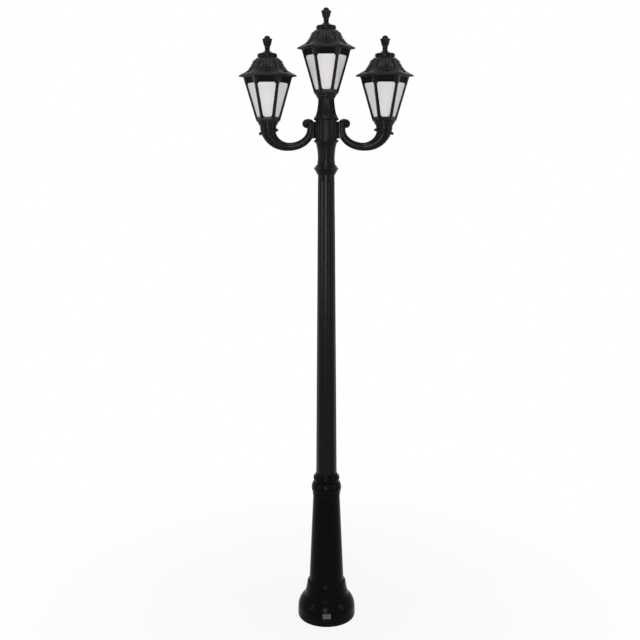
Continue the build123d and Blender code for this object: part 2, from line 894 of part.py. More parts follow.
def make_holder_nut():
    """Nut on the nipple, below the cup's top plate."""
    nut = extrude(RegularPolygon(holder_nut_flats / 2, 6, major_radius=False), holder_nut_height - seat_gap)
    nut -= Cylinder(nipple_radius + thread_gap, holder_nut_height * 4)
    return Pos(0, 0, cup_height - cup_top_plate - holder_nut_height) * nut


def make_bulb_cap():
    """Metal screw cap of the lamp, open at its top."""
    inside = bulb_cap_radius - bulb_cap_wall
    return turned([
        (0, bulb_z),
        (bulb_tip_radius, bulb_z),
        (bulb_cap_radius, bulb_z + bulb_cone_height),
        (bulb_cap_radius, bulb_z + bulb_cap_height),
        (inside, bulb_z + bulb_cap_height),
        (inside, bulb_z + bulb_cone_height + bulb_cap_wall),
        (0, bulb_z + bulb_tip_wall),
    ])


def globe_side(radius, neck, low, middle):
    """Point where a straight neck from (neck, low) meets a ball, and the bow from there to the ball's top."""
    reach = sqrt(neck ** 2 + (middle - low) ** 2)
    turn = atan2(low - middle, neck) + acos(radius / reach)
    bow = radius * (1 - cos((radians(90) - turn) / 2))
    return (radius * cos(turn), middle + radius * sin(turn)), bow


def make_bulb_globe():
    """Glass globe that seats on the cap."""
    low = bulb_z + bulb_cap_height + seat_gap
    middle = bulb_z + bulb_length - bulb_radius
    inner_radius = bulb_radius - bulb_glass
    inner_neck = bulb_neck_radius - bulb_glass
    side, bow = globe_side(bulb_radius, bulb_neck_radius, low, middle)
    inner_side, inner_bow = globe_side(inner_radius, inner_neck, low, middle)
    return turned([
        (inner_neck, low),
        (bulb_neck_radius, low),
        side,
        (0, middle + bulb_radius, bow),
        (0, middle + inner_radius),
        (*inner_side, -inner_bow),
    ])


def roof_block(inset, brim_drop):
    """Six-sided solid of the roof, taken in by inset on its facets, with its brim brim_drop lower."""
    eave = eave_radius * cos_thirty - inset
    knee = roof_knee_radius * cos_thirty - inset
    shoulder = roof_shoulder_radius * cos_thirty - inset
    shoulder_z = roof_top_z - roof_shoulder_drop - inset / 2
    top = roof_top_radius * cos_thirty - inset
    return six_sided([
        (eave, eave_z),
        (eave, eave_z + eave_lip_height - brim_drop),
        (knee, roof_knee_z - brim_drop),
        (shoulder, shoulder_z, roof_side_bow),
        (top, roof_top_z - inset, roof_shoulder_bow),
    ])


def make_roof():
    """Domed six-sided roof with a brim, a seating skirt and a boss for the finial's stud."""
    outside = roof_block(0, 0)
    roof = outside - roof_block(roof_wall, roof_brim_drop)
    skirt_out = cage_top_radius - skirt_margin / cos_thirty
    skirt_in = cage_top_radius - (gasket_width - skirt_margin) / cos_thirty
    skirt = hex_frustum(skirt_out, roof_seat_z, skirt_out, roof_knee_z)
    skirt -= hex_frustum(skirt_in, roof_seat_z, skirt_in, roof_knee_z)
    roof += skirt & outside
    boss_z = roof_top_z - roof_wall - roof_boss_height
    roof += tube(roof_boss_radius, 0, boss_z, roof_top_z - roof_wall / 2)
    return roof - tube(finial_stud_radius + finial_stud_gap, 0, boss_z - 1, roof_top_z + 1)


def make_crown():
    """Stepped disc on the roof's flat top."""
    z = crown_z
    hole = finial_stud_radius + finial_stud_gap
    rim_z = z + crown_band_height
    return turned([
        (hole, z),
        (crown_band_radius, z),
        (crown_band_radius, rim_z - crown_band_chamfer),
        (crown_radius, rim_z),
        (crown_radius, rim_z + crown_rim_height, crown_rim_bow),
        (crown_nose_radius, z + crown_height, -crown_nose_bow),
        (hole, z + crown_height),
    ])


def make_finial():
    """Fluted urn on a flared foot, with a stud down through crown and roof."""
    z = finial_z
    stud_low = roof_top_z - roof_wall - roof_boss_height + finial_stud_clear
    foot_top = z + finial_foot_height
    ball_z = foot_top + finial_ball_gap
    ball_top = ball_z + finial_ball_height
    collar_z = ball_top + finial_collar_slope
    collar_top = collar_z + finial_collar_height
    urn_z = collar_top + 2 * finial_collar_slope
    lip_z = urn_z + finial_urn_height
    dome_z = lip_z + finial_lip_height
    top_z = dome_z + finial_dome_height
    finial = turned([
        (0, stud_low),
        (finial_stud_radius, stud_low),
        (finial_stud_radius, z),
        (finial_foot_radius, z),
        (finial_neck_radius + finial_neck_step, foot_top, -finial_foot_bow),
        (finial_neck_radius, ball_z),
        (finial_neck_radius, ball_top, finial_ball_bow),
        (finial_collar_radius, collar_z),
        (finial_collar_radius, collar_top),
        (finial_collar_radius - finial_collar_slope, collar_top + finial_collar_slope),
        (finial_urn_foot_radius, urn_z, finial_urn_foot_bow),
        (0, urn_z),
    ])
    finial += loft([
        scalloped(finial_urn_foot_radius + (finial_urn_radius - finial_urn_foot_radius) * share,
                  urn_flute_depth, urn_flute_count, urn_z + finial_urn_height * rise)
        for share, rise in finial_urn_curve
    ])
    finial += turned([
        (0, lip_z),
        (finial_lip_radius, lip_z),
        (finial_dome_radius, dome_z),
        (finial_tip_radius, top_z, finial_dome_bow),
        (0, top_z),
    ])
    return finial


def placed(shape, place):
    """Shape, or list of shapes, moved to a lantern's seat."""
    if isinstance(shape, list):
        return [place * piece for piece in shape]
    return place * shape


def lantern_pieces():
    """Pieces of one lantern, at its own seat."""
    return {
        "cup": make_cup(),
        "cup_screws": make_cup_screws(),
        "cage": make_cage(),
        "panes": make_panes(),
        "gasket": make_gasket(),
        "lampholder": make_lampholder(),
        "holder_nut": make_holder_nut(),
        "bulb_cap": make_bulb_cap(),
        "bulb_globe": make_bulb_globe(),
        "roof": make_roof(),
        "crown": make_crown(),
        "finial": make_finial(),
    }


def all_pieces():
    """Every node of the lamp post by name."""
    arm = make_arm()
    side_lead = make_side_lead()
    half_turn = Rot(0, 0, 180)
    pieces = {
        "anchor_plate": make_anchor_plate(),
        "cable_grommet": make_cable_grommet(),
        "core_tube": make_core_tube(),
        "pedestal": make_pedestal(),
        "blank_plate": make_blank_plate(),
        "base_collar": make_base_collar(),
        "collar_screws": make_collar_screws(),
        "shaft": make_shaft(),
        "shaft_collar": make_shaft_collar(),
        "hub_socket": make_hub_socket(),
        "hub_screws": make_hub_screws(),
        "hub_studs": hub_stud_rods(0),
        "hub_drum": make_hub_drum(),
        "hub_neck": make_hub_neck(),
        "arm_right": arm,
        "arm_left": half_turn * arm,
        "arm_bolts": make_arm_bolts(),
        "terminal_block": make_terminal_block(),
        "lead_right": side_lead,
        "lead_left": half_turn * side_lead,
        "lead_centre": make_centre_lead(),
    }
    lantern = lantern_pieces()
    for side, (reach, seat_z) in lanterns.items():
        for name, shape in lantern.items():
            pieces[name + "_" + side] = placed(shape, Pos(reach, 0, seat_z))
    return pieces


os.makedirs("parts", exist_ok=True)
for node, shape in all_pieces().items():
    if isinstance(shape, list):
        shape = Compound(children=[solid for piece in shape for solid in piece.solids()])
    export_step(shape, "parts/" + node + ".step")
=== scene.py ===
"""Dresses the garden lamp post with finer meshes and finishes, and sets its studio and camera."""
import json
import logging
from dataclasses import dataclass, replace
from enum import Enum
from math import atan2, cos, exp, pi, radians, sin, tan
from typing import Any, Sequence

import bmesh
import bpy
from bpy.types import ID, Material, Mesh, Node, NodeSocket, NodeTree, Object, World
from mathutils import Matrix, Vector
from mathutils.geometry import tessellate_polygon


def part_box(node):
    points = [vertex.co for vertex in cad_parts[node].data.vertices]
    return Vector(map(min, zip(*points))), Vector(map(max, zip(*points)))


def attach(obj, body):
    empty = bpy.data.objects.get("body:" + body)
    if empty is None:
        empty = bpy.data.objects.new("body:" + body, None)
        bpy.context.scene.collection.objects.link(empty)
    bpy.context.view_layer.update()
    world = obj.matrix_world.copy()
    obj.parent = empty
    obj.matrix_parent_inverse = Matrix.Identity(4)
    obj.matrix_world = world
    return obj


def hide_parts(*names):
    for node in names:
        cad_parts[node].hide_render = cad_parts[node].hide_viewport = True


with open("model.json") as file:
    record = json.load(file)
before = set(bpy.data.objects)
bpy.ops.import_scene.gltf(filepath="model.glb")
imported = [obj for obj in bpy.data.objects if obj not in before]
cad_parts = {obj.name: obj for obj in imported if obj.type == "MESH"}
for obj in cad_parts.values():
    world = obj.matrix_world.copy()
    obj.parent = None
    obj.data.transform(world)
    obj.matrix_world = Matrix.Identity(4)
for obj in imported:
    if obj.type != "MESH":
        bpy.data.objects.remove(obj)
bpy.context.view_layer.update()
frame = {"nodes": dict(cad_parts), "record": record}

LOG = logging.getLogger("lamp_post")

AROUND = 96            # sides of a turned piece
BOW_STEPS = 10         # pieces of a bowed run
EASE_STEPS = 4         # pieces of a rounded corner
MERGE = 2e-6           # points nearer than this become one
SHARP = radians(32)    # edges that turn more than this stay crisp
HALF_FACET = radians(30)
MM = 0.001             # a millimetre
SIDE_REACH = 0.217     # from the pole's axis to a side lantern's
SIDE_SEAT = 1.960      # height of a side lantern's seat
CENTRE_SEAT = 2.059    # height of the centre lantern's seat
NO_PANEL = 1.0         # a panel drop that leaves flutes round
SHADED_RECESS = -1.0          # wear of a recess: duller, and darkened with painted shade
BEAD_WEAR = 0.4        # wear of beads and rosettes
UP = Vector((0, 0, 1))
DOWN = Vector((0, 0, -1))
Rows = tuple[tuple[float, ...], ...]


class Body(Enum):
    """Bodies of the part; those of a lantern end in its side."""

    POST = "post"
    ROOF = "roof"
    FINIAL = "finial"


class Side(Enum):
    """The three lanterns."""

    LEFT = "left"
    CENTRE = "centre"
    RIGHT = "right"


class Value:
    """A node's socket; Python operators on it add the Math nodes between sockets."""

    def __init__(self, graph: "Graph", socket: NodeSocket) -> None:
        """Keeps the socket and the graph that it belongs to."""
        self.graph = graph
        self.socket = socket

    def __add__(self, other: "Value | float") -> "Value":
        """Adds."""
        return self.graph.math("ADD", self, other)

    def __radd__(self, other: float) -> "Value":
        """Adds to a number."""
        return self.graph.math("ADD", other, self)

    def __sub__(self, other: "Value | float") -> "Value":
        """Takes away."""
        return self.graph.math("SUBTRACT", self, other)

    def __rsub__(self, other: float) -> "Value":
        """Takes away from a number."""
        return self.graph.math("SUBTRACT", other, self)

    def __mul__(self, other: "Value | float") -> "Value":
        """Multiplies."""
        return self.graph.math("MULTIPLY", self, other)

    def __rmul__(self, other: float) -> "Value":
        """Multiplies a number."""
        return self.graph.math("MULTIPLY", other, self)

    def __truediv__(self, other: "Value | float") -> "Value":
        """Divides."""
        return self.graph.math("DIVIDE", self, other)

    def __rtruediv__(self, other: float) -> "Value":
        """Divides a number."""
        return self.graph.math("DIVIDE", other, self)

    def at_least(self, other: "Value | float") -> "Value":
        """Gives the larger of two values."""
        return self.graph.math("MAXIMUM", self, other)

    def at_most(self, other: "Value | float") -> "Value":
        """Gives the smaller of two values."""
        return self.graph.math("MINIMUM", self, other)

    def apply(self, operation: str) -> "Value":
        """Applies a Math operation of one value, such as SQRT, SINE or FRACT."""
        return self.graph.math(operation, self)

    def output(self, name: str) -> "Value":
        """Gives another output of the same node."""
        return Value(self.graph, self.socket.node.outputs[name])


class Graph:
    """A node tree that is written as Python expressions."""

    def __init__(self, tree: NodeTree) -> None:
        """Keeps the tree."""
        self.tree = tree

    def node(self, kind: str, settings: dict[str, Any] | None = None,
             inputs: dict[str | int, Any] | None = None, output: str | int = 0) -> Value:
        """Adds a node.

        Args:
            kind: the node's type.
            settings: its settings, set first; "curve" fills a curve.
            inputs: values or links of its sockets, by name or place.
            output: the output to give back.

        Returns:
            That output.
        """
        made = self.tree.nodes.new(kind)
        for name, setting in (settings or {}).items():
            if name == "curve":
                fill_curve(made, setting)
            else:
                setattr(made, name, setting)
        for key, value in (inputs or {}).items():
            if isinstance(value, Value):
                self.tree.links.new(value.socket, made.inputs[key])
            else:
                made.inputs[key].default_value = value
        return Value(self, made.outputs[output])

    def end(self, kind: str, shader: Value) -> None:
        """Ends a material's or the world's tree in a shader."""
        self.tree.links.new(shader.socket, self.tree.nodes.new(kind).inputs["Surface"])

    def math(self, operation: str, *values: "Value | float") -> Value:
        """Adds a Math node."""
        return self.node("ShaderNodeMath", {"operation": operation}, dict(enumerate(values)))

    def blend(self, share: "Value | float", first: Any, second: Any) -> Value:
        """Adds a Mix node for two colours."""
        return self.node("ShaderNodeMix", {"data_type": "RGBA"}, {0: share, 6: first, 7: second}, 2)

    def place(self, scale: tuple[float, float, float] = (1, 1, 1)) -> Value:
        """Gives Object coordinates, stretched by a scale."""
        here = self.node("ShaderNodeTexCoord", output="Object")
        return self.node("ShaderNodeMapping", inputs={"Vector": here, "Scale": scale})

    def noise(self, scale: float, detail: float = 2.0, where: Value | None = None) -> Value:
        """Adds noise with about this many patches to a metre."""
        return self.node("ShaderNodeTexNoise", inputs={
            "Vector": where or self.place(), "Scale": scale, "Detail": detail})

    def bump(self, height: Value, distance: float, strength: float) -> Value:
        """Turns a height into a Bump node's normal."""
        return self.node("ShaderNodeBump", inputs={
            "Height": height, "Distance": distance, "Strength": strength})


def emptied(block: Material | World) -> Graph:
    """Gives a new material's or world's node tree, without nodes.

    Args:
        block: the material or world.

    Returns:
        Its graph.
    """
    block.use_nodes = True
    block.node_tree.nodes.clear()
    return Graph(block.node_tree)


def fill_curve(node: Node, points: Sequence[tuple[float, float]]) -> None:
    """Sets a curve's points.

    Args:
        node: the curve node.
        points: places and heights, from left to right; a curve starts with two.
    """
    curve = node.mapping.curves[0]
    while len(curve.points) < len(points):
        curve.points.new(0.5, 0.5)
    for point, place in zip(curve.points, points):
        point.location = place
    node.mapping.update()


class Recipe(Graph):
    """A Geometry Nodes tree with named inputs, which makes one mesh and is then taken off."""

    SOCKETS = {int: "NodeSocketInt", float: "NodeSocketFloat", Material: "NodeSocketMaterial"}

    def __init__(self, name: str, inputs: dict[str, type]) -> None:
        """Makes the tree and its inputs.

        Args:
            name: the tree's name.
            inputs: names and kinds of its inputs, besides the mesh that it works on.
        """
        tree = bpy.data.node_groups.new(name, "GeometryNodeTree")
        super().__init__(tree)
        tree.interface.new_socket("Mesh", in_out="INPUT", socket_type="NodeSocketGeometry")
        tree.interface.new_socket("Mesh", in_out="OUTPUT", socket_type="NodeSocketGeometry")
        self.sockets = {}
        for label, kind in (inputs | {"Material": Material}).items():
            socket = tree.interface.new_socket(label, in_out="INPUT", socket_type=self.SOCKETS[kind])
            self.sockets[label] = socket.identifier
        self.entry = tree.nodes.new("NodeGroupInput")

    def given(self, name: str) -> Value:
        """Gives one of the tree's inputs."""
        return Value(self, self.entry.outputs[name])

    def close(self, made: Value) -> None:
        """Ends the tree: real geometry, with its material.

        Args:
            made: the geometry.
        """
        real = self.node("GeometryNodeRealizeInstances", inputs={"Geometry": made})
        painted = self.node("GeometryNodeSetMaterial", inputs={
            "Geometry": real, "Material": self.given("Material")})
        end = self.tree.nodes.new("NodeGroupOutput")
        self.tree.links.new(painted.socket, end.inputs["Mesh"])

    def run(self, piece: Object, sizes: dict[str, Any]) -> Object:
        """Runs the tree on an object, which keeps the result as its plain mesh.

        Args:
            piece: the object.
            sizes: the tree's inputs by name.

        Returns:
            The same object.
        """
        modifier = piece.modifiers.new(self.tree.name, "NODES")
        modifier.node_group = self.tree
        for label, size in sizes.items():
            modifier[self.sockets[label]] = size
        evaluated = piece.evaluated_get(bpy.context.evaluated_depsgraph_get())
        mesh = bpy.data.meshes.new_from_object(evaluated)
        piece.modifiers.remove(modifier)
        mesh.name = piece.name
        piece.data = mesh
        settle(mesh)
        return piece


def ring_recipe() -> Recipe:
    """Builds the tree that sets copies of a mesh in a ring round an upright axis.

    Returns:
        The tree. Copies whose direction is nearer to the X axis than "Skip" (a cosine) are left out.
    """
    recipe = Recipe("ring_of_copies", {
        "Count": int, "Turn": float, "Axis X": float, "Axis Z": float, "Skip": float})
    angle = recipe.node("GeometryNodeInputIndex") * (2 * pi) / recipe.given("Count") + recipe.given("Turn")
    axis = recipe.node("ShaderNodeCombineXYZ", inputs={
        "X": recipe.given("Axis X"), "Z": recipe.given("Axis Z")})
    points = recipe.node("GeometryNodePoints", inputs={"Count": recipe.given("Count"), "Position": axis})
    kept = recipe.math("LESS_THAN", angle.apply("COSINE").apply("ABSOLUTE"), recipe.given("Skip"))
    copies = recipe.node("GeometryNodeInstanceOnPoints", inputs={
        "Points": points, "Instance": recipe.given("Mesh"), "Selection": kept,
        "Rotation": recipe.node("ShaderNodeCombineXYZ", inputs={"Z": angle})})
    recipe.close(copies)
    return recipe


def fluted_recipe(name: str, profile: Sequence[tuple[float, float]]) -> Recipe:
    """Builds the tree that makes a turned tube with round-ended flutes.

    Args:
        name: the tree's name.
        profile: radius over height, both from 0 to 1.

    Returns:
        The tree. Flutes are as wide as "Flute Share" of their spacing, and no deeper than a flat panel that
        lies "Panel Drop" below their edges. Rows crowd at the ends by "Crowd".
    """
    kinds = {
        "Low": float, "High": float, "Thin": float, "Thick": float, "Flutes": int, "Flute Share": float,
        "Flute Depth": float, "Panel Drop": float, "Flute Foot": float, "Flute Head": float, "Turn": float,
        "Crowd": float, "Around": int, "Along": int, "Axis X": float}
    recipe = Recipe(name, kinds)
    (low, high, thin, thick, flutes, flute_share, depth, panel_drop, flute_foot, flute_head, turn, crowd,
     around, along, axis_x) = (recipe.given(kind) for kind in kinds)
    grid = recipe.node("GeometryNodeMeshGrid", inputs={
        "Size X": 1.0, "Size Y": 1.0, "Vertices X": around, "Vertices Y": along})
    flat = recipe.node("ShaderNodeSeparateXYZ", inputs={"Vector": recipe.node("GeometryNodeInputPosition")})
    lap = flat.output("X") + 0.5
    row = flat.output("Y") + 0.5
    rise = row - crowd * (row * (2 * pi)).apply("SINE") / (2 * pi)
    height = low + (high - low) * rise
    width = recipe.node("ShaderNodeFloatCurve", {"curve": profile}, {"Value": rise})
    radius = thin + (thick - thin) * width
    spacing = radius * (2 * pi) / flutes
    across = ((lap * flutes).apply("FRACT") - 0.5) * spacing
    beyond = (flute_foot - height).at_least(height - flute_head).at_least(0.0)
    half = spacing * flute_share / 2
    hollow = (half * half + depth * depth) / (depth * 2)
    reach = (hollow * hollow - across * across - beyond * beyond).at_least(0.0).apply("SQRT")
    edge = (half / radius).apply("COSINE") * radius - panel_drop
    panel = radius - edge / (across / radius).apply("COSINE")
    fluted = radius - (reach - hollow + depth).at_least(0.0).at_most(panel)
    angle = lap * (2 * pi) + turn
    place = recipe.node("ShaderNodeCombineXYZ", inputs={
        "X": axis_x + fluted * angle.apply("COSINE"), "Y": fluted * angle.apply("SINE"), "Z": height})
    tube = recipe.node("GeometryNodeSetPosition", inputs={"Geometry": grid, "Position": place})
    recipe.close(recipe.node("GeometryNodeMergeByDistance", inputs={"Geometry": tube, "Distance": MERGE}))
    return recipe


@dataclass(frozen=True)
class Finish:
    """A finish: the record's slot that it belongs to, its own label, and the nodes that draw it."""

    slot: str
    label: str = ""

    def material(self) -> Material:
        """Gives the finish's material.

        Returns:
            The material, drawn on its first use.
        """
        name = f"finish_{self.label or self.slot}"
        found = bpy.data.materials.get(name)
        if found is None:
            found = bpy.data.materials.new(name)
            graph = emptied(found)
            graph.end("ShaderNodeOutputMaterial", self.draw(graph))
        return found

    def draw(self, graph: Graph) -> Value:
        """Draws the nodes and gives the shader."""
        raise NotImplementedError


@dataclass(frozen=True)
class SatinResin(Finish):
    """Black moulded resin: satin, finely mottled, a little rubbed at its edges, and rougher and darkened with
    painted shade in its recesses.
    """

    slot: str = "black_resin"
    deep: tuple[float, ...] = (0.0016, 0.0016, 0.0017, 1)
    pale: tuple[float, ...] = (0.0032, 0.0031, 0.0033, 1)
    rubbed: tuple[float, ...] = (0.010, 0.010, 0.0105, 1)
    # darkest colour: painted shade that recesses are darkened towards
    painted_shade: tuple[float, ...] = (0.001, 0.001, 0.001, 1)
    roughness: float = 0.22
    specular: float = 0.040

    def draw(self, graph: Graph) -> Value:
        """Draws the nodes.

        Args:
            graph: the material's graph.

        Returns:
            The shader.
        """
        cloud = graph.noise(18.0, 3.0)
        grain = graph.noise(620.0, 2.0)
        wear_and_shade = graph.node("ShaderNodeAttribute", {"attribute_name": "wear_and_shade"}, output="Fac")
        rub = wear_and_shade.at_least(0.0) * (0.25 + 0.75 * graph.noise(150.0))
        # a negative wear value marks painted shade: it darkens the colour and raises the roughness
        dull = (0.0 - wear_and_shade).at_least(0.0)
        colour = graph.blend(dull * 0.6, graph.blend(cloud, self.deep, self.pale), self.painted_shade)
        uneven = (grain - 0.5) * 0.08 + (cloud - 0.5) * 0.06
        return graph.node("ShaderNodeBsdfPrincipled", inputs={
            "Base Color": graph.blend(rub * 0.55, colour, self.rubbed),
            "Roughness": self.roughness + uneven - rub * 0.04 + dull * 0.5,
            "Specular IOR Level": self.specular,
            "Normal": graph.bump(grain + cloud * 0.5, 0.00012, 0.14)})


@dataclass(frozen=True)
class Zinc(Finish):
    """Dull galvanised steel with its spangle."""

    slot: str = "galvanised_steel"
    dull: tuple[float, ...] = (0.42, 0.44, 0.45, 1)
    bright: tuple[float, ...] = (0.66, 0.68, 0.69, 1)

    def draw(self, graph: Graph) -> Value:
        """Draws the nodes.

        Args:
            graph: the material's graph.

        Returns:
            The shader.
        """
        spangle = {"Vector": graph.place(), "Scale": 140.0}
        flakes = graph.node("ShaderNodeTexVoronoi", inputs=spangle, output="Color")
        shade = graph.node("ShaderNodeSeparateColor", inputs={"Color": flakes})
        return graph.node("ShaderNodeBsdfPrincipled", inputs={
            "Base Color": graph.blend(shade, self.dull, self.bright),
            "Metallic": 0.9,
            "Roughness": 0.38 + shade * 0.22,
            "Normal": graph.bump(graph.noise(400.0), 0.0001, 0.25)})


@dataclass(frozen=True)
class Plated(Finish):
    """Turned or rolled metal with fine scratches and handling marks."""

    slot: str = "steel_screws"
    base: tuple[float, ...] = (0.50, 0.50, 0.51, 1)
    marks: tuple[float, ...] = (0.34, 0.34, 0.35, 1)
    stretch: tuple[float, float, float] = (1, 1, 12)
    roughness: float = 0.30

    def draw(self, graph: Graph) -> Value:
        """Draws the nodes.

        Args:
            graph: the material's graph.

        Returns:
            The shader.
        """
        lines = graph.noise(220.0, 4.0, graph.place(self.stretch))
        smear = graph.noise(60.0, 3.0)
        return graph.node("ShaderNodeBsdfPrincipled", inputs={
            "Base Color": graph.blend(smear * lines * 1.6, self.base, self.marks),
            "Metallic": 0.92,
            "Roughness": self.roughness + (lines - 0.5) * 0.24 + (smear - 0.5) * 0.12,
            "Normal": graph.bump(lines, 0.00006, 0.30)})


@dataclass(frozen=True)
class Speckled(Finish):
    """A skin whose colour and roughness drift, with a fine texture; each noise is its scale and detail.

    An opal skin is given an even painted glow, emission that stands in for light from behind showing through
    it.
    """

    base: tuple[float, ...] = (0.018, 0.018, 0.018, 1)
    speck: tuple[float, ...] = (0.032, 0.031, 0.030, 1)
    drift: tuple[float, float] = (90.0, 4.0)
    roughness: float = 0.70
    spread: float = 0.16
    texture: tuple[float, float] = (900.0, 2.0)
    depth: float = 0.0001
    strength: float = 0.30
    specular: float = 0.35
    # strength of the painted glow, emission in place of light showing through the skin
    painted_glow: float = 0.0
    transmission: float = 0.0

    def draw(self, graph: Graph) -> Value:
        """Draws the nodes.

        Args:
            graph: the material's graph.

        Returns:
            The shader.
        """
        drift = graph.noise(*self.drift)
        colour = graph.blend(drift, self.base, self.speck)
        # the emission is a painted glow standing in for light from behind
        glow = {"Emission Color": colour, "Emission Strength": self.painted_glow} if self.painted_glow else {}
        return graph.node("ShaderNodeBsdfPrincipled", inputs=glow | {
            "Base Color": colour,
            "Roughness": self.roughness + (drift - 0.5) * self.spread,
            "Specular IOR Level": self.specular,
            "Transmission Weight": self.transmission,
            "Normal": graph.bump(graph.noise(*self.texture), self.depth, self.strength)})


FOOT_RESIN = SatinResin(label="foot_resin")
POLE_RESIN = SatinResin(label="pole_resin", roughness=0.23, specular=0.110)
HEAD_RESIN = SatinResin(
    label="head_resin", deep=(0.0034, 0.0029, 0.0040, 1), pale=(0.0058, 0.0050, 0.0066, 1),
    rubbed=(0.060, 0.056, 0.062, 1), roughness=0.26, specular=0.100)
ROOF_RESIN = replace(HEAD_RESIN, label="roof_resin", roughness=0.46, specular=0.120)
CARRIED_FINISHES: tuple[Finish, ...] = (
    HEAD_RESIN,
    # the opal panes carry an even painted glow in place of light showing through from behind
    Speckled(
        "opal_panes", base=(0.67, 0.645, 0.652, 1), speck=(0.62, 0.597, 0.605, 1), drift=(14.0, 3.0),
        roughness=0.30, spread=0.12, texture=(55.0, 1.0), depth=0.0004, strength=0.12, painted_glow=0.32),
    # the bare plate's colours are set far darker than its pale metal, as painted shade
    Plated(
        "bare_plate", base=(0.11, 0.11, 0.115, 1), marks=(0.065, 0.065, 0.068, 1), stretch=(1, 14, 14),
        roughness=0.40),
    Zinc(),
    Plated(),
    Plated(
        "lamp_cap", base=(0.74, 0.74, 0.75, 1), marks=(0.56, 0.56, 0.57, 1), stretch=(1, 1, 9),
        roughness=0.26),
    Speckled("black_rubber"),
    Speckled("white_insulator", base=(0.77, 0.76, 0.73, 1), speck=(0.68, 0.67, 0.63, 1), roughness=0.48),
    Speckled("lead_sheath", base=(0.040, 0.040, 0.042, 1), speck=(0.062, 0.060, 0.060, 1), roughness=0.45),
    Speckled(
        "lamp_glass", base=(0.93, 0.93, 0.91, 1), speck=(0.88, 0.88, 0.85, 1), drift=(40.0, 3.0),
        roughness=0.24, texture=(300.0, 2.0), strength=0.10, specular=0.5, transmission=0.35),
)


@dataclass(frozen=True)
class Corner:
    """A corner of a turned outline, in metres; the outline runs with the open air on its right."""

    out: float
    up: float
    bow: float = 0.0
    ease: float = 0.0


def corners_of(level: float, rows: Rows) -> list[Corner]:
    """Makes corners of rows in millimetres: out, height over a level, and where it has them bow and ease."""
    return [Corner(out * MM, level + up * MM, *(size * MM for size in more)) for out, up, *more in rows]


def round_angles(count: int) -> list[float]:
    """Angles of evenly spaced points round a circle."""
    return [2 * pi * step / count for step in range(count)]


def bowed_run(start: Corner, end: Corner) -> list[tuple[float, float, float]]:
    """Points between two corners, on the arc that the second one's bow gives.

    Args:
        start: where the run starts.
        end: where it ends; its bow is the arc's height to the right.

    Returns:
        Out, up and a zero ease for each point.
    """
    if end.bow == 0.0:
        return []
    chord = Vector((end.out - start.out, end.up - start.up))
    right = Vector((chord.y, -chord.x)).normalized()
    height = abs(end.bow)
    radius = (chord.length ** 2 / 4 + height ** 2) / (2 * height)
    half = 2 * atan2(2 * height, chord.length)
    points = []
    for step in range(1, BOW_STEPS):
        turn = half * (2 * step / BOW_STEPS - 1)
        along = radius * sin(turn) / chord.length + 0.5
        stand = (radius * cos(turn) - radius + height) * (1 if end.bow > 0 else -1)
        point = Vector((start.out, start.up)) + chord * along + right * stand
        points.append((point.x, point.y, 0.0))
    return points


def trace(corners: Sequence[Corner], closed: bool) -> list[tuple[float, float, float]]:
    """Follows an outline, with its bows and eased corners.

    Args:
        corners: the outline.
        closed: whether its last corner joins the first.

    Returns:
        Out, up and wear (1 on an eased outer edge) for each point.
    """
    runs: list[tuple[float, float, float]] = []
    for index, corner in enumerate(corners):
        if index > 0 or closed:
            runs += bowed_run(corners[index - 1], corner)
        runs.append((corner.out, corner.up, corner.ease))
    points = []
    for index, (out, up, ease) in enumerate(runs):
        at_end = not closed and index in (0, len(runs) - 1)
        if ease == 0.0 or at_end:
            points.append((out, up, 0.0))
            continue
        here = Vector((out, up))
        back = Vector(runs[index - 1][:2]) - here
        ahead = Vector(runs[(index + 1) % len(runs)][:2]) - here
        reach = min(ease, 0.45 * back.length, 0.45 * ahead.length)
        start = here + back.normalized() * reach
        end = here + ahead.normalized() * reach
        outer = back.x * ahead.y - back.y * ahead.x < 0
        for step in range(EASE_STEPS + 1):
            share = step / EASE_STEPS
            point = start * (1 - share) ** 2 + here * 2 * share * (1 - share) + end * share ** 2
            points.append((point.x, point.y, 1.0 if outer else 0.0))
    return points


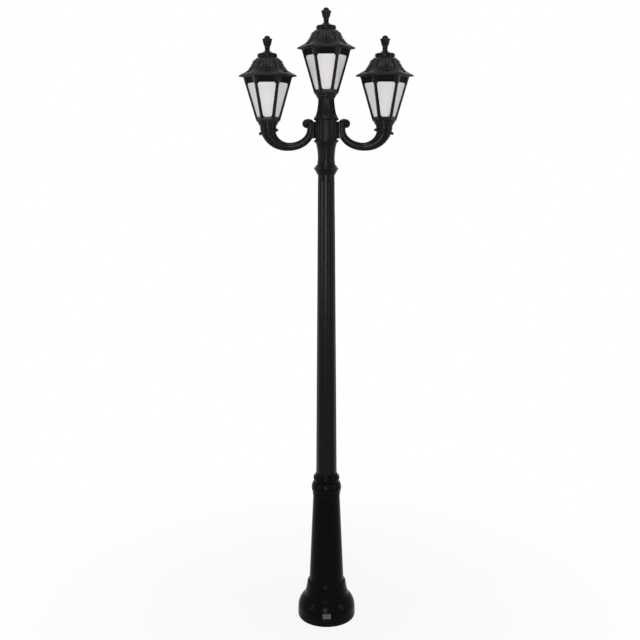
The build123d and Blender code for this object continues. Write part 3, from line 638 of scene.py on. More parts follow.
class Mould:
    """Gathers the points and faces of one mesh."""

    def __init__(self) -> None:
        """Starts empty."""
        self.points: list[Vector] = []
        self.wear_and_shade: list[float] = []
        self.faces: list[tuple[int, ...]] = []

    def ring(self, points: Sequence[Vector], wear_and_shade: float = 0.0) -> list[int]:
        """Adds points.

        Args:
            points: their places.
            wear_and_shade: how rubbed they are; a negative value darkens the colour as painted shade.

        Returns:
            Their numbers.
        """
        first = len(self.points)
        self.points += [Vector(point) for point in points]
        self.wear_and_shade += [wear_and_shade] * len(points)
        return list(range(first, len(self.points)))

    def skin(self, rings: Sequence[Sequence[int]], wrap: bool = False, around: bool = True) -> None:
        """Adds faces between rings; a ring of one point is a pole.

        Args:
            rings: numbers of the points.
            wrap: whether the last ring joins the first.
            around: whether each ring is closed.
        """
        pairs = list(zip(rings, rings[1:]))
        if wrap:
            pairs.append((rings[-1], rings[0]))
        for low, high in pairs:
            count = max(len(low), len(high))
            for index in range(count if around else count - 1):
                after = (index + 1) % count
                face = (low[index % len(low)], low[after % len(low)],
                        high[after % len(high)], high[index % len(high)])
                face = tuple(dict.fromkeys(face))
                if len(face) > 2:
                    self.faces.append(face)

    def turn(self, corners: Sequence[Corner], closed: bool = True, sides: int = AROUND) -> "Mould":
        """Turns an outline round the Z axis.

        Args:
            corners: the outline; an open one starts and ends on the axis.
            closed: whether its last corner joins the first.
            sides: the steps round the axis.

        Returns:
            This mould.
        """
        rings = []
        for out, up, wear_and_shade in trace(corners, closed):
            if out < MERGE:
                rings.append(self.ring([Vector((0, 0, up))], wear_and_shade))
            else:
                points = [Vector((out * cos(t), out * sin(t), up)) for t in round_angles(sides)]
                rings.append(self.ring(points, wear_and_shade))
        self.skin(rings, wrap=closed)
        return self

    def ball(self, centre: Vector, radius: float) -> None:
        """Adds a small bead.

        Args:
            centre: where it sits.
            radius: its radius.
        """
        rings = [self.ring([centre - UP * radius], BEAD_WEAR)]
        for tilt in (-50, -18, 18, 50):
            out = radius * cos(radians(tilt))
            up = radius * sin(radians(tilt))
            points = [centre + Vector((out * cos(t), out * sin(t), up)) for t in round_angles(12)]
            rings.append(self.ring(points, BEAD_WEAR))
        rings.append(self.ring([centre + UP * radius], BEAD_WEAR))
        self.skin(rings)

    def cap(self, rings: Sequence[Sequence[int]]) -> None:
        """Closes a tube's two ends."""
        self.faces += [tuple(rings[0]), tuple(rings[-1])]

    def build(self, name: str, move: Vector = Vector((0, 0, 0)), whole: bool = True) -> Object:
        """Makes the object.

        Args:
            name: its name.
            move: where the mould's own origin goes.
            whole: whether open rims are closed.

        Returns:
            The object, smooth, with its place in its mesh.
        """
        mesh = bpy.data.meshes.new(name)
        shell = bmesh.new()
        layer = shell.verts.layers.float.new("wear_and_shade")
        made = [shell.verts.new(point + move) for point in self.points]
        for vertex, wear_and_shade in zip(made, self.wear_and_shade):
            vertex[layer] = wear_and_shade
        for face in self.faces:
            shell.faces.new([made[index] for index in face])
        shell.to_mesh(mesh)
        shell.free()
        settle(mesh, whole)
        return placed(name, mesh)


def placed(name: str, data: ID) -> Object:
    """Puts a new object into the scene.

    Args:
        name: its name.
        data: its mesh, light or camera.

    Returns:
        The object.
    """
    made = bpy.data.objects.new(name, data)
    bpy.context.scene.collection.objects.link(made)
    return made


def settle(mesh: Mesh, whole: bool = True) -> None:
    """Merges doubles, turns faces outwards and smooths all but crisp edges.

    Args:
        mesh: the mesh.
        whole: whether open rims are closed.
    """
    shell = bmesh.new()
    shell.from_mesh(mesh)
    bmesh.ops.remove_doubles(shell, verts=shell.verts, dist=MERGE)
    rims = [edge for edge in shell.edges if edge.is_boundary]
    if rims and whole:
        bmesh.ops.holes_fill(shell, edges=rims, sides=0)
    bmesh.ops.recalc_face_normals(shell, faces=shell.faces)
    shell.to_mesh(mesh)
    shell.free()
    mesh.shade_smooth()
    mesh.set_sharp_from_angle(angle=SHARP)


def joined(name: str, pieces: Sequence[Object]) -> Object:
    """Makes one object of several.

    Args:
        name: its name.
        pieces: the objects, which are taken away.

    Returns:
        The object.
    """
    shell = bmesh.new()
    shell.verts.layers.float.new("wear_and_shade")
    for piece in pieces:
        shell.from_mesh(piece.data)
    mesh = bpy.data.meshes.new(name)
    shell.to_mesh(mesh)
    shell.free()
    for piece in pieces:
        bpy.data.objects.remove(piece)
    mesh.shade_smooth()
    mesh.set_sharp_from_angle(angle=SHARP)
    return placed(name, mesh)


def fit(piece: Object, body: str, finish: Finish, *nodes: str) -> None:
    """Gives a piece its finish, its body and the nodes that it stands for.

    Args:
        piece: the piece.
        body: the body that it moves with.
        finish: its finish.
        nodes: the CAD nodes that it replaces.
    """
    piece.data.materials.clear()
    piece.data.materials.append(finish.material())
    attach(piece, body)
    if nodes:
        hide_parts(*nodes)
    LOG.info("%s on %s: %d faces", piece.name, body, len(piece.data.polygons))


def turned(name: str, box: tuple[Vector, Vector], low: Rows, high: Rows, inside: Rows = (),
           sides: int = AROUND, reach: float = 0.0) -> Object:
    """Turns a piece between the foot and the top of a CAD box.

    Args:
        name: its name.
        box: the box.
        low: its outline over the foot.
        high: its outline from there on, under the top.
        inside: the rest of it, over the foot.
        sides: the steps round the axis.
        reach: where the axis stands along X.

    Returns:
        The piece.
    """
    foot, top = box
    outline = corners_of(foot.z, low) + corners_of(top.z, high) + corners_of(foot.z, inside)
    return Mould().turn(outline, sides=sides).build(name, Vector((reach, 0, 0)))


@dataclass
class Workshop:
    """The node trees that several pieces share."""

    ring: Recipe
    shaft: Recipe
    sleeve: Recipe
    bell: Recipe
    urn: Recipe

    @classmethod
    def open(cls) -> "Workshop":
        """Builds the trees.

        Returns:
            The workshop.
        """
        return cls(
            ring_recipe(),
            fluted_recipe("fluted_shaft", ((0.0, 1.0), (1.0, 0.0))),
            fluted_recipe("fluted_sleeve", ((0.0, 0.0), (0.3, 0.03), (0.53, 0.17), (0.8, 0.5), (1.0, 1.0))),
            fluted_recipe("panelled_bell", ((0.0, 1.0), (0.2, 0.56), (0.55, 0.21), (1.0, 0.0))),
            fluted_recipe("fluted_urn", ((0.0, 0.0), (0.25, 0.34), (0.6, 0.72), (1.0, 1.0))),
        )

    def circle(self, unit: Object, count: int, turn: float, axis: Vector,
               skip: float = 2.0) -> Object:
        """Sets copies of a unit in a ring.

        Args:
            unit: the unit, modelled round the origin.
            count: how many.
            turn: the first one's angle.
            axis: where the ring's axis stands.
            skip: the cosine past which a copy near the X axis is left out; 2 leaves none out.

        Returns:
            The ring, in the unit's object.
        """
        return self.ring.run(unit, {
            "Count": count, "Turn": turn, "Axis X": axis.x, "Axis Z": axis.z, "Skip": skip,
            "Material": HEAD_RESIN.material()})


@dataclass(frozen=True)
class Fluting:
    """Sizes of a fluted tube; flutes end at margins inside its foot and top, and run out at a negative one."""

    thin: float
    thick: float
    count: int
    share: float
    depth: float
    foot_margin: float
    head_margin: float
    crowd: float
    around: int
    along: int
    turn: float = 0.0
    panel_drop: float = NO_PANEL

    def run(self, recipe: Recipe, name: str, low: float, high: float, finish: Finish = HEAD_RESIN,
            reach: float = 0.0) -> Object:
        """Makes the tube.

        Args:
            recipe: the node tree with its profile.
            name: its name.
            low: its foot's height.
            high: its top's height.
            finish: its finish.
            reach: where its axis stands along X.

        Returns:
            The tube.
        """
        return recipe.run(Mould().build(name), {
            "Low": low, "High": high, "Thin": self.thin, "Thick": self.thick, "Flutes": self.count,
            "Flute Share": self.share, "Flute Depth": self.depth, "Panel Drop": self.panel_drop,
            "Flute Foot": low + self.foot_margin, "Flute Head": high - self.head_margin, "Turn": self.turn,
            "Crowd": self.crowd, "Around": self.around, "Along": self.along, "Axis X": reach,
            "Material": finish.material()})


@dataclass
class Foot:
    """The bell foot with its column, and the ring on top; outlines in millimetres."""

    bell: Rows = (
        (108.5, 0), (113.5, 0, 0, 1), (116.2, 8, 0.6, 1), (116.2, 25.5, 0, 0.8), (114.9, 26.8, 0, 0.6),
        (115.2, 30), (88.5, 93, 8.8, 2), (78, 143, -1, 1.5), (70.5, 154.5, 2, 1), (69.3, 156, 0, 0.6))
    column_head: Rows = (
        (53.2, -15), (54.5, -14.2, 0, 0.4), (54.5, -10, 0, 0.4), (53.2, -9.2), (53.2, -7.6),
        (55.2, -6.8, 0, 0.4), (55.2, -2.2, 0, 0.4), (52.5, -1.4), (52.5, 0), (28.5, 0),
        (28.5, -6), (47.5, -6))
    hollow: Rows = ((64.3, 154), (73, 143), (83.5, 91), (108.5, 28, -8))
    sides: int = 128
    beads: Rows = (
        (43, 0), (53.5, 0, 0, 0.6), (56.2, 1, 0, 0.8), (53, 39.5, 4.6, 0.6), (49.8, 41.2), (48, 41.8, 0, 0.6),
        (48, 46.2, 0, 0.6), (49.2, 46.8, 0, 0.4), (47.4, 68, 4, 0.6), (45.2, 69, 0, 0.6))
    beads_head: Rows = ((42.7, -0.6, -0.6, 0.5), (41.8, 0), (40.2, 0))
    beads_hollow: Rows = ((42, 26.5),)

    def pedestal(self) -> Object:
        """Turns the hollow foot and column."""
        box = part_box("pedestal")
        return turned("foot_and_column", box, self.bell, self.column_head, self.hollow, self.sides)

    def collar(self) -> Object:
        """Turns the ring with two beads."""
        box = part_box("base_collar")
        return turned("collar_with_beads", box, self.beads, self.beads_head, self.beads_hollow)

    def dress(self) -> None:
        """Builds the pieces and fits them."""
        fit(self.pedestal(), Body.POST.value, FOOT_RESIN, "pedestal")
        fit(self.collar(), Body.POST.value, FOOT_RESIN, "base_collar")


@dataclass
class Pole:
    """The fluted shaft, and the ring with a double cone at its top; the ring's outline in millimetres."""

    fluting: Fluting = Fluting(
        thin=0.0315, thick=0.0413, count=8, share=0.50, depth=0.0022, foot_margin=0.060, head_margin=0.038,
        crowd=0.85, around=241, along=260)
    cone: Rows = (
        (31.8, 0), (33, 0, 0, 0.4), (33.6, 1.8, 0, 0.4), (45.6, 22.8, 0, 0.6), (47.8, 24.2, 0, 0.5),
        (47.8, 26.6, 0, 0.5), (45.2, 27.8, 0, 0.4), (44, 28.6), (40.2, 32.8, 1.1), (39.7, 33.6),
        (36.2, 38, 1.1), (35.3, 39), (34.6, 41.6, 0, 0.5), (33.9, 42.4))
    cone_head: Rows = ((33.3, -8, 0, 0.4), (33.8, -5, 0.3), (33.3, -0.4, 0.2, 0.3), (32.2, 0), (25.5, 0))
    cone_hollow: Rows = ((25.5, 14), (31.8, 13.2))

    def shaft(self, shop: Workshop) -> Object:
        """Makes the fluted shaft."""
        low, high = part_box("shaft")
        return self.fluting.run(shop.shaft, "fluted_shaft", low.z, high.z, POLE_RESIN)

    def collar(self) -> Object:
        """Turns the ring with a sharp edge, two beads and a small top ring."""
        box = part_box("shaft_collar")
        return turned("collar_with_cone", box, self.cone, self.cone_head, self.cone_hollow)

    def dress(self, shop: Workshop) -> None:
        """Builds the pieces and fits them."""
        fit(self.shaft(shop), Body.POST.value, POLE_RESIN, "shaft")
        fit(self.collar(), Body.POST.value, POLE_RESIN, "shaft_collar")


@dataclass
class Hub:
    """The socket, the ribbed drum and the bell with panels; outlines in millimetres."""

    sleeve: Fluting = Fluting(
        thin=0.0322, thick=0.041, count=14, share=0.72, depth=0.0006, foot_margin=0.009, head_margin=0.0102,
        crowd=0.3, around=169, along=56, turn=pi / 14)
    sleeve_drop: float = 0.0114
    bead: Rows = (
        (24.7, -11.6), (42.2, -11.6, 0, 0.3), (43, -10.8, 0, 0.3), (43, -0.6, 3.6, 0.4), (41, 0), (24.7, 0))
    drum: float = 0.042
    drum_bore: float = 0.0327
    rib_count: int = 18
    rib_width: float = 0.0094
    rib_height: float = 0.0030
    rib_sink: float = 0.001
    rib_round: float = 0.7
    rib_gap: float = 10.0
    panels: Fluting = Fluting(
        thin=0.0312, thick=0.0450, count=8, share=0.84, depth=0.0060, foot_margin=0.0164, head_margin=-0.016,
        crowd=0.3, around=193, along=72, turn=pi / 8, panel_drop=0.0005)
    panels_rise: float = 0.0106
    panels_drop: float = 0.0060
    foot_ring: Rows = (
        (20, 0), (44, 0), (44.6, 0.6, 0, 0.3), (44.6, 9.8, 3, 0.4), (43.8, 11), (20, 11))
    top_ring: Rows = (
        (12, -6.2), (30.6, -6.2), (31.6, -5.4, 0, 0.4), (31.6, -0.6, 0.4, 0.3), (30.8, 0), (12, 0))

    def socket(self, shop: Workshop) -> Object:
        """Makes the faintly fluted sleeve and the bead on it.

        Args:
            shop: the node trees.

        Returns:
            The socket.
        """
        low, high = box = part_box("hub_socket")
        sleeve = self.sleeve.run(shop.sleeve, "socket_sleeve", low.z, high.z - self.sleeve_drop)
        return joined("hub_sleeve", [turned("socket_bead", box, (), self.bead), sleeve])

    def ribbed_drum(self, shop: Workshop) -> Object:
        """Turns the drum's core and sets its ribs round it.

        Args:
            shop: the node trees.

        Returns:
            The drum.
        """
        low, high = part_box("hub_drum")
        core_radius = self.drum - self.rib_height
        core = Mould().turn([
            Corner(self.drum_bore, low.z),
            Corner(core_radius, low.z),
            Corner(core_radius, high.z),
            Corner(self.drum_bore, high.z),
        ]).build("drum_core")
        rib = Mould()
        rings = []
        half = self.rib_width / 2
        arc = [radians(90) * (step / 5 - 1) for step in range(11)]
        section = [(half * sin(t), self.rib_height * cos(t) ** self.rib_round) for t in arc]
        section = [(-half, -self.rib_sink), *section, (half, -self.rib_sink)]
        for height in (low.z, high.z):
            points = [Vector((core_radius + rise, across, height)) for across, rise in section]
            rings.append(rib.ring(points, wear_and_shade=0.15))
        rib.skin(rings)
        skip = cos(radians(self.rib_gap))
        ribs = shop.circle(rib.build("drum_rib"), self.rib_count, 0.0, Vector((0, 0, 0)), skip)
        return joined("ribbed_drum", [core, ribs])

    def bell(self, shop: Workshop) -> Object:
        """Makes the bell with scooped panels, and the rings at its ends.

        Args:
            shop: the node trees.

        Returns:
            The bell.
        """
        low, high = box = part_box("hub_neck")
        panels = self.panels.run(
            shop.bell, "bell_panels", low.z + self.panels_rise, high.z - self.panels_drop)
        foot_ring = turned("bell_foot", box, self.foot_ring, ())
        top_ring = turned("bell_top", box, (), self.top_ring)
        return joined("panelled_bell", [foot_ring, top_ring, panels])

    def dress(self, shop: Workshop) -> None:
        """Builds the pieces and fits them.

        Args:
            shop: the node trees.
        """
        fit(self.socket(shop), Body.POST.value, HEAD_RESIN, "hub_socket")
        fit(self.ribbed_drum(shop), Body.POST.value, HEAD_RESIN, "hub_drum")
        fit(self.bell(shop), Body.POST.value, HEAD_RESIN, "hub_neck")


@dataclass(frozen=True)
class Station:
    """A place along an arm: where, which way, half thickness in the arm's plane, and half width across it."""

    place: Vector
    along: Vector
    thick: float
    wide: float


@dataclass
class Arm:
    """One scrolled arm: a volute, a stem, two bends, a ring at its end and the pad on the drum.

    The curl's rows are angle, radius and half thickness; the other rows are in millimetres.
    """

    hand: int = 1
    stem_reach: float = 0.05775
    stem_radius: float = 0.0142
    stem_drop: float = 0.002
    low_z: float = 1.886
    low_radius: float = 0.0153
    low_reach: float = 0.140
    stem_rise: float = 0.064
    seat_rise: float = 0.068
    end_radius: float = 0.031
    spigot_radius: float = 0.0219
    spigot_height: float = 0.0105
    scroll_reach: float = 0.073
    scroll_z: float = 1.970
    ring_turn: float = 79.0
    sides: int = 40
    curl_spread: float = 0.32
    curl_spread_turn: float = 120.0
    end_flare: float = 1.25
    curl_steps: int = 6
    bend_steps: int = 18
    curl: Rows = (
        (180.0, 0.01525, 0.0142), (135.0, 0.0108, 0.0112), (90.0, 0.0087, 0.0089), (30.0, 0.0092, 0.0078),
        (-30.0, 0.0098, 0.0068), (-90.0, 0.0096, 0.0058), (-150.0, 0.0082, 0.0047), (-210.0, 0.0062, 0.0036),
        (-270.0, 0.0040, 0.0026))
    ring: Rows = (
        (20, -6.2), (32.9, -6.2, 0, 0.3), (33.5, -5.8, 0, 0.3), (33.5, 5.8, 5, 0.4),
        (32.9, 6.2, 0, 0.3), (20, 6.2))
    button: Rows = (
        (0, -13.6), (5.2, -11.2, 1, 0.6), (6.2, -10, 0, 0.4), (6.2, 10, 0, 0.4),
        (5.2, 11.2, 0, 0.6), (0, 13.6, 1))
    pad_sides: Rows = ((38, 7.5), (43.5, 8.5), (47, 11.5), (57.75, 12))
    pad_inset: float = 0.004
    pad_ease: float = 0.0015

    def curl_stations(self) -> list[Station]:
        """Follows the volute from its inner end to the top of the stem.

        Returns:
            The stations.
        """
        centre = Vector((self.scroll_reach, 0, self.scroll_z))
        knots = list(reversed(self.curl))
        samples = []
        for index in range(len(knots) - 1):
            before = knots[max(index - 1, 0)]
            first = knots[index]
            second = knots[index + 1]
            after = knots[min(index + 2, len(knots) - 1)]
            for step in range(self.curl_steps):
                share = step / self.curl_steps
                samples.append([between(*group, share) for group in zip(before, first, second, after)])
        samples.append(list(knots[-1]))
        stations = []
        places = [centre + Vector((cos(radians(a)), 0, sin(radians(a)))) * r for a, r, _ in samples]
        for index, (angle, _, thick) in enumerate(samples):
            ahead = places[min(index + 1, len(places) - 1)] - places[max(index - 1, 0)]
            along = DOWN if index == len(places) - 1 else ahead.normalized()
            wide = thick * (1.0 + self.curl_spread * min(1.0, (180 - angle) / self.curl_spread_turn))
            stations.append(Station(places[index], along, thick, wide))
        return stations

    def stem_stations(self) -> list[Station]:
        """Follows the stem down, through the bends and up to the lantern's seat and its spigot.

        Returns:
            The stations.
        """
        stations = []
        steps = self.bend_steps
        top = self.scroll_z - self.stem_drop
        bend_z = self.low_z + self.stem_rise
        for step in range(1, 5):
            place = Vector((self.stem_reach, 0, top + (bend_z - top) * step / 5))
            stations.append(Station(place, DOWN, self.stem_radius, self.stem_radius))
        width = self.low_reach - self.stem_reach
        for step in range(steps + 1):
            turn = radians(90) * step / steps
            place = Vector((self.low_reach - width * cos(turn), 0, bend_z - self.stem_rise * sin(turn)))
            along = Vector((width * sin(turn), 0, -self.stem_rise * cos(turn))).normalized()
            size = self.stem_radius + (self.low_radius - self.stem_radius) * step / steps
            stations.append(Station(place, along, size, size))
        for step in range(1, steps + 1):
            share = step / steps
            place, along = self.seat_bend(radians(90) * share)
            size = self.low_radius + (self.end_radius - self.low_radius) * share ** self.end_flare
            stations.append(Station(place, along, size, size))
        for height, size in ((0.0, self.end_radius), (0.0, self.spigot_radius),
                             (self.spigot_height, self.spigot_radius)):
            stations.append(Station(Vector((SIDE_REACH, 0, SIDE_SEAT + height)), UP, size, size))
        return stations

    def seat_bend(self, turn: float) -> tuple[Vector, Vector]:
        """Follows the bend below the lantern.

        Args:
            turn: how far round, from 0 at the arm's lowest point to a right angle.

        Returns:
            The place there and the way the arm goes.
        """
        width = SIDE_REACH - self.low_reach
        rise = self.seat_rise
        place = Vector((self.low_reach + width * sin(turn), 0, self.low_z + rise - rise * cos(turn)))
        return place, Vector((width * cos(turn), 0, rise * sin(turn))).normalized()

    def bar(self) -> Object:
        """Sweeps the bar from the volute to the spigot.

        Returns:
            The bar.
        """
        mould = Mould()
        rings = [mould.ring(self.section(s)) for s in self.curl_stations() + self.stem_stations()]
        mould.skin(rings)
        mould.cap(rings)
        return self.handed(mould, "arm_bar")

    def section(self, station: Station) -> list[Vector]:
        """Follows the bar's section at a station.

        Args:
            station: the place along the arm.

        Returns:
            The section's points.
        """
        side = Vector((station.along.z, 0, -station.along.x))
        across = Vector((0, station.wide, 0))
        return [station.place + side * (station.thick * cos(t)) + across * sin(t)
                for t in round_angles(self.sides)]

    def end_ring(self) -> Object:
        """Turns the ring near the arm's end and tips it square to the arm.

        Returns:
            The ring.
        """
        mould = Mould().turn(corners_of(0.0, self.ring))
        place, along = self.seat_bend(radians(self.ring_turn))
        tip = Matrix.Translation(place) @ Matrix.Rotation(atan2(along.x, along.z), 4, "Y")
        mould.points = [tip @ point for point in mould.points]
        return self.handed(mould, "arm_ring")

    def eye(self) -> Object:
        """Makes the volute's eye, a button through the middle of the curl.

        Returns:
            The eye.
        """
        mould = Mould().turn(corners_of(0.0, self.button), closed=False, sides=self.sides)
        lay = Matrix.Translation((self.scroll_reach, 0, self.scroll_z)) @ Matrix.Rotation(radians(90), 4, "X")
        mould.points = [lay @ point for point in mould.points]
        return self.handed(mould, "arm_eye")

    def pad(self) -> Object:
        """Makes the pad between drum and stem, with eased edges.

        Returns:
            The pad.
        """
        low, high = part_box("hub_drum")
        mould = Mould()
        rings = []
        ends = (self.pad_inset, self.pad_inset + self.pad_ease)
        heights = [low.z + end for end in ends] + [high.z - end for end in reversed(ends)]
        for height, inset in zip(heights, (self.pad_ease, 0.0, 0.0, self.pad_ease)):
            front = [Vector((out * MM, inset - half * MM, height)) for out, half in self.pad_sides]
            back = [Vector((out * MM, half * MM - inset, height)) for out, half in reversed(self.pad_sides)]
            rings.append(mould.ring(front + back, wear_and_shade=0.2))
        mould.skin(rings)
        mould.cap(rings)
        return self.handed(mould, "arm_pad")

    def handed(self, mould: Mould, name: str) -> Object:
        """Builds a mould, which is made for the right arm, on the arm's own side."""
        mould.points = [Vector((point.x * self.hand, point.y, point.z)) for point in mould.points]
        return mould.build(name)

    def dress(self) -> None:
        """Builds the arm and fits it."""
        side = Side.RIGHT if self.hand > 0 else Side.LEFT
        arm = joined(f"scrolled_arm_{side.value}", [self.bar(), self.end_ring(), self.eye(), self.pad()])
        fit(arm, Body.POST.value, HEAD_RESIN, f"arm_{side.value}")


def between(before: float, first: float, second: float, after: float, share: float) -> float:
    """Follows a smooth curve through four numbers, from the second to the third.

    Args:
        before: the number before.
        first: where the stretch starts.
        second: where it ends.
        after: the number after.
        share: how far along, from 0 to 1.

    Returns:
        The number there.
    """
    slope = (second - before) / 2
    bend = before - 2.5 * first + 2 * second - 0.5 * after
    twist = 1.5 * (first - second) + (after - before) / 2
    return first + share * (slope + share * (bend + share * twist))


@dataclass(frozen=True)
class Ground:
    """The middle line of the roof facet that faces +X, on which its relief is laid."""

    line: tuple[Vector, ...]
    knee: int
    sink: float = 0.0008

    def point(self, across: float, rise: float, lift: float) -> Vector:
        """Gives a point on or above the facet.

        Args:
            across: distance from the facet's middle line.
            rise: distance up the facet from its knee.
            lift: height above the facet.

        Returns:
            The point, with the lantern's axis at the origin.
        """
        index = self.knee
        left = rise
        while index > 0 and left < 0:
            left += (self.line[index] - self.line[index - 1]).length
            index -= 1
        while index < len(self.line) - 2 and left > (self.line[index + 1] - self.line[index]).length:
            left -= (self.line[index + 1] - self.line[index]).length
            index += 1
        along = (self.line[index + 1] - self.line[index]).normalized()
        point = self.line[index] + along * left + Vector((along.y, -along.x)) * lift
        return Vector((point.x, across, point.y))

    def cushion(self, mould: Mould, edge: Sequence[Vector], middle: Vector, height: float) -> None:
        """Adds a low cushion-shaped relief.

        Args:
            mould: the relief's mould.
            edge: its edge, as across and rise.
            middle: its middle, as across and rise.
            height: its height.
        """
        rings = [mould.ring([self.point(*middle, -self.sink)]),
                 mould.ring([self.point(*place, -self.sink) for place in edge])]
        for share, lift in ((1.0, 0.25), (0.86, 0.72), (0.5, 0.96)):
            places = [middle.lerp(place, share) for place in edge]
            rings.append(mould.ring([self.point(*place, height * lift) for place in places], 0.5))
        rings.append(mould.ring([self.point(*middle, height)], 0.6))
        mould.skin(rings)

    def lobe(self, mould: Mould, foot: Vector, tip: Vector, width: float, height: float) -> None:
        """Adds a long rounded leaf.

        Args:
            mould: the relief's mould.
            foot: where it starts, as across and rise.
            tip: where it ends.
            width: its width.
            height: its height.
        """
        along = tip - foot
        side = Vector((along.y, -along.x)).normalized()
        edge = []
        for turn in round_angles(20):
            reach = (1 - cos(turn)) / 2
            spread = width / 2 * sin(turn) * (1.06 - 0.22 * reach)
            edge.append(foot + along * reach + side * spread)
        self.cushion(mould, edge, foot + along * 0.5, height)


@dataclass
class Lantern:
    """One six-sided lantern: cup, cage, roof, crown and finial.

    Rows are in millimetres. A lobe's are foot, tip, width and height, a leaf's rise, half width and out.
    The last number of a roof_top row is its roundness, and of a leaf_section row a share of the half width.
    """

    side: Side
    axis: Vector
    cage_foot: float = 0.0444
    cage_top: float = 0.0915
    cage_low: float = 0.020
    cage_high: float = 0.181
    wall: float = 0.0058
    floor: float = 0.004
    nipple: float = 0.0051
    window_rise: float = 0.014
    window_drop: float = 0.0245
    foot_margin: float = 0.0075
    head_margin: float = 0.0078
    cant: float = 0.0066
    gusset: float = 0.009
    lintel: float = 0.003
    frieze_inset: float = 0.0030
    frieze_bead: Rows = ((0, 0.2), (0.3, -0.7), (1.2, -1.1), (2.1, -0.7), (2.6, 0.3))
    frieze_lap: float = 0.0015
    reveal: Rows = ((1.2, 0), (0.3, 0.4), (0, 1.3), (0, 5.8))
    groove_depth: float = 0.0010
    groove_width: float = 0.0022
    steps: Rows = (
        (22.4, 0.1), (30.4, 0.1), (31.4, 1, 0, 0.4), (33, 5.2, 0.4, 0.4), (33, 6.2), (35, 6.8, 0, 0.4),
        (37.2, 12.2, 0.6, 0.4), (37.2, 13.4), (39.2, 14, 0, 0.4), (41, 19, 0.6, 0.4), (40.2, 19.9),
        (5.1, 19.9), (5.1, 17), (22.4, 17))
    eave: Rows = ((106.8, 181.2), (107.3, 181.6, 0, 0.3), (107.3, 186.2, 0, 1.2))
    dome: Rows = ((72.2, 205.4, -0.4), (56, 230.6, -1.2), (40.8, 248.2, 1.8))
    roof_top: Rows = ((30, 248, 0.6), (4.2, 248, 1), (4.2, 236.5, 1), (10, 232.5, 1), (10, 244, 1))
    roof_inside: Rows = ((38, 244.7), (51.5, 229.8, -1.2), (66, 206.5, -0.6), (96, 186, 3), (103.8, 183.2))
    brim_height: float = 0.1865
    lobes: Rows = (
        (8.5, -10, 5.5, 41, 10, 3.4), (20, -11, 14, 38, 10, 3.2), (30, -10, 20.5, 29, 7.5, 2))
    beads: Rows = ((-8, -17.5), (0, -17.5), (8, -17.5))
    bead_radius: float = 0.0030
    bead_height: float = 0.0040
    rosette_rise: float = 0.013
    rosette: Rows = ((8.5, -0.6), (8.4, 1.8), (7.6, 4), (6, 5), (4.8, 4.2), (4, 3.4), (3, 4), (1.6, 5))
    rosette_height: float = 0.0052
    hip_bead: float = 0.0020
    disc: Rows = (
        (4.2, 0), (34, 0), (34.6, 0.6, 0, 0.3), (34.6, 1.8), (36.4, 2.6, 0, 0.4), (36.4, 13, 1, 0.6),
        (32.8, 15.4, 0.8, 0.4), (30, 16.2, 0, 0.3))
    disc_head: Rows = ((20, -0.6, -0.6, 0.4), (19, 0), (4.2, 0))
    finial_foot: float = 0.2684
    urn_low: float = 0.0236
    urn_high: float = 0.0436
    urn: Fluting = Fluting(
        thin=0.0128, thick=0.0172, count=10, share=0.80, depth=0.0015, foot_margin=0.0026,
        head_margin=-0.0164, crowd=0.2, around=121, along=28)
    stud: Rows = ((0, 0), (4, 0))
    baluster: Rows = (
        (4, 0), (16.3, 0, 0, 0.4), (16.5, 1.2, 0, 0.4), (15, 2), (9.8, 8, -1.6, 0.5), (8.8, 9.2, 0, 0.4),
        (8.8, 10), (8.8, 14.6, 1.4), (9, 15.2), (10.6, 16, 0, 0.4), (10.6, 20.6, 0, 0.4), (9.8, 21.6),
        (12.6, 23.8, 0.6), (11.8, 42.4), (17, 42.8, 0, 0.4), (17.8, 44.6, 0.4, 0.4), (16, 46.2, 0, 0.4),
        (12, 47), (10.6, 52.8, 0.4))
    tip: Rows = ((7.8, -2.2, 0.6), (1.5, 0, 0.6), (0, 0))
    leaf: Rows = ((37.2, 4, 16), (40.2, 5, 17.4), (43.4, 4.6, 18.4), (46.2, 3, 18.6), (48, 1, 17.8))
    leaf_section: Rows = ((-3, -0.9), (-0.8, -0.6), (0, 0), (-0.8, 0.6), (-3, 0.9), (-4, 0))
    leaf_count: int = 10

    def named(self, name: str) -> str:
        """Adds the lantern's side to a name."""
        return f"{name}_{self.side.value}"

    def cup(self) -> Object:
        """Turns the stepped cup."""
        return Mould().turn(corners_of(0.0, self.steps)).build(self.named("stepped_cup"), self.axis)

    def cage_radius(self, height: float) -> float:
        """Corner radius of the cage at a height."""
        share = (height - self.cage_low) / (self.cage_high - self.cage_low)
        return self.cage_foot + (self.cage_top - self.cage_foot) * share

    def on_facet(self, across: float, height: float, inset: float) -> Vector:
        """A point on the cage's facet that faces +X, inset level from its outside."""
        return Vector((self.cage_radius(height) * cos(HALF_FACET) - inset, across, height))

    def window_half(self) -> tuple[float, float, float]:
        """Works out half the width of a window.

        Returns:
            Its half width at its foot, where its cants start, and at its head.
        """
        low = self.cage_low + self.window_rise
        high = self.cage_high - self.window_drop
        foot = self.cage_radius(low) / 2 - self.foot_margin
        head = self.cage_radius(high) / 2 - self.head_margin
        return foot, foot + (head - foot) * (high - low - self.cant) / (high - low), head

    def window(self, grow: float) -> list[tuple[float, float]]:
        """Outline of one window and the frieze's pocket above it, canted at its head, rounded at its foot.

        Args:
            grow: how far it is widened all round.

        Returns:
            Across and height of its points, counter-clockwise.
        """
        low = self.cage_low + self.window_rise
        high = self.cage_high - self.window_drop
        foot, side, head = self.window_half()
        right = []
        for step in range(7):
            turn = radians(90) * step / 6
            right.append((foot - self.gusset + (self.gusset + grow) * sin(turn) * 1.02,
                          low + self.gusset - (self.gusset + grow) * cos(turn)))
        right += [(side + grow, high - self.cant), (head - self.cant + grow, high + grow * 0.6),
                  (head - self.cant + grow, self.cage_high - self.lintel + grow * 0.6)]
        return right + [(-across, height) for across, height in reversed(right)]

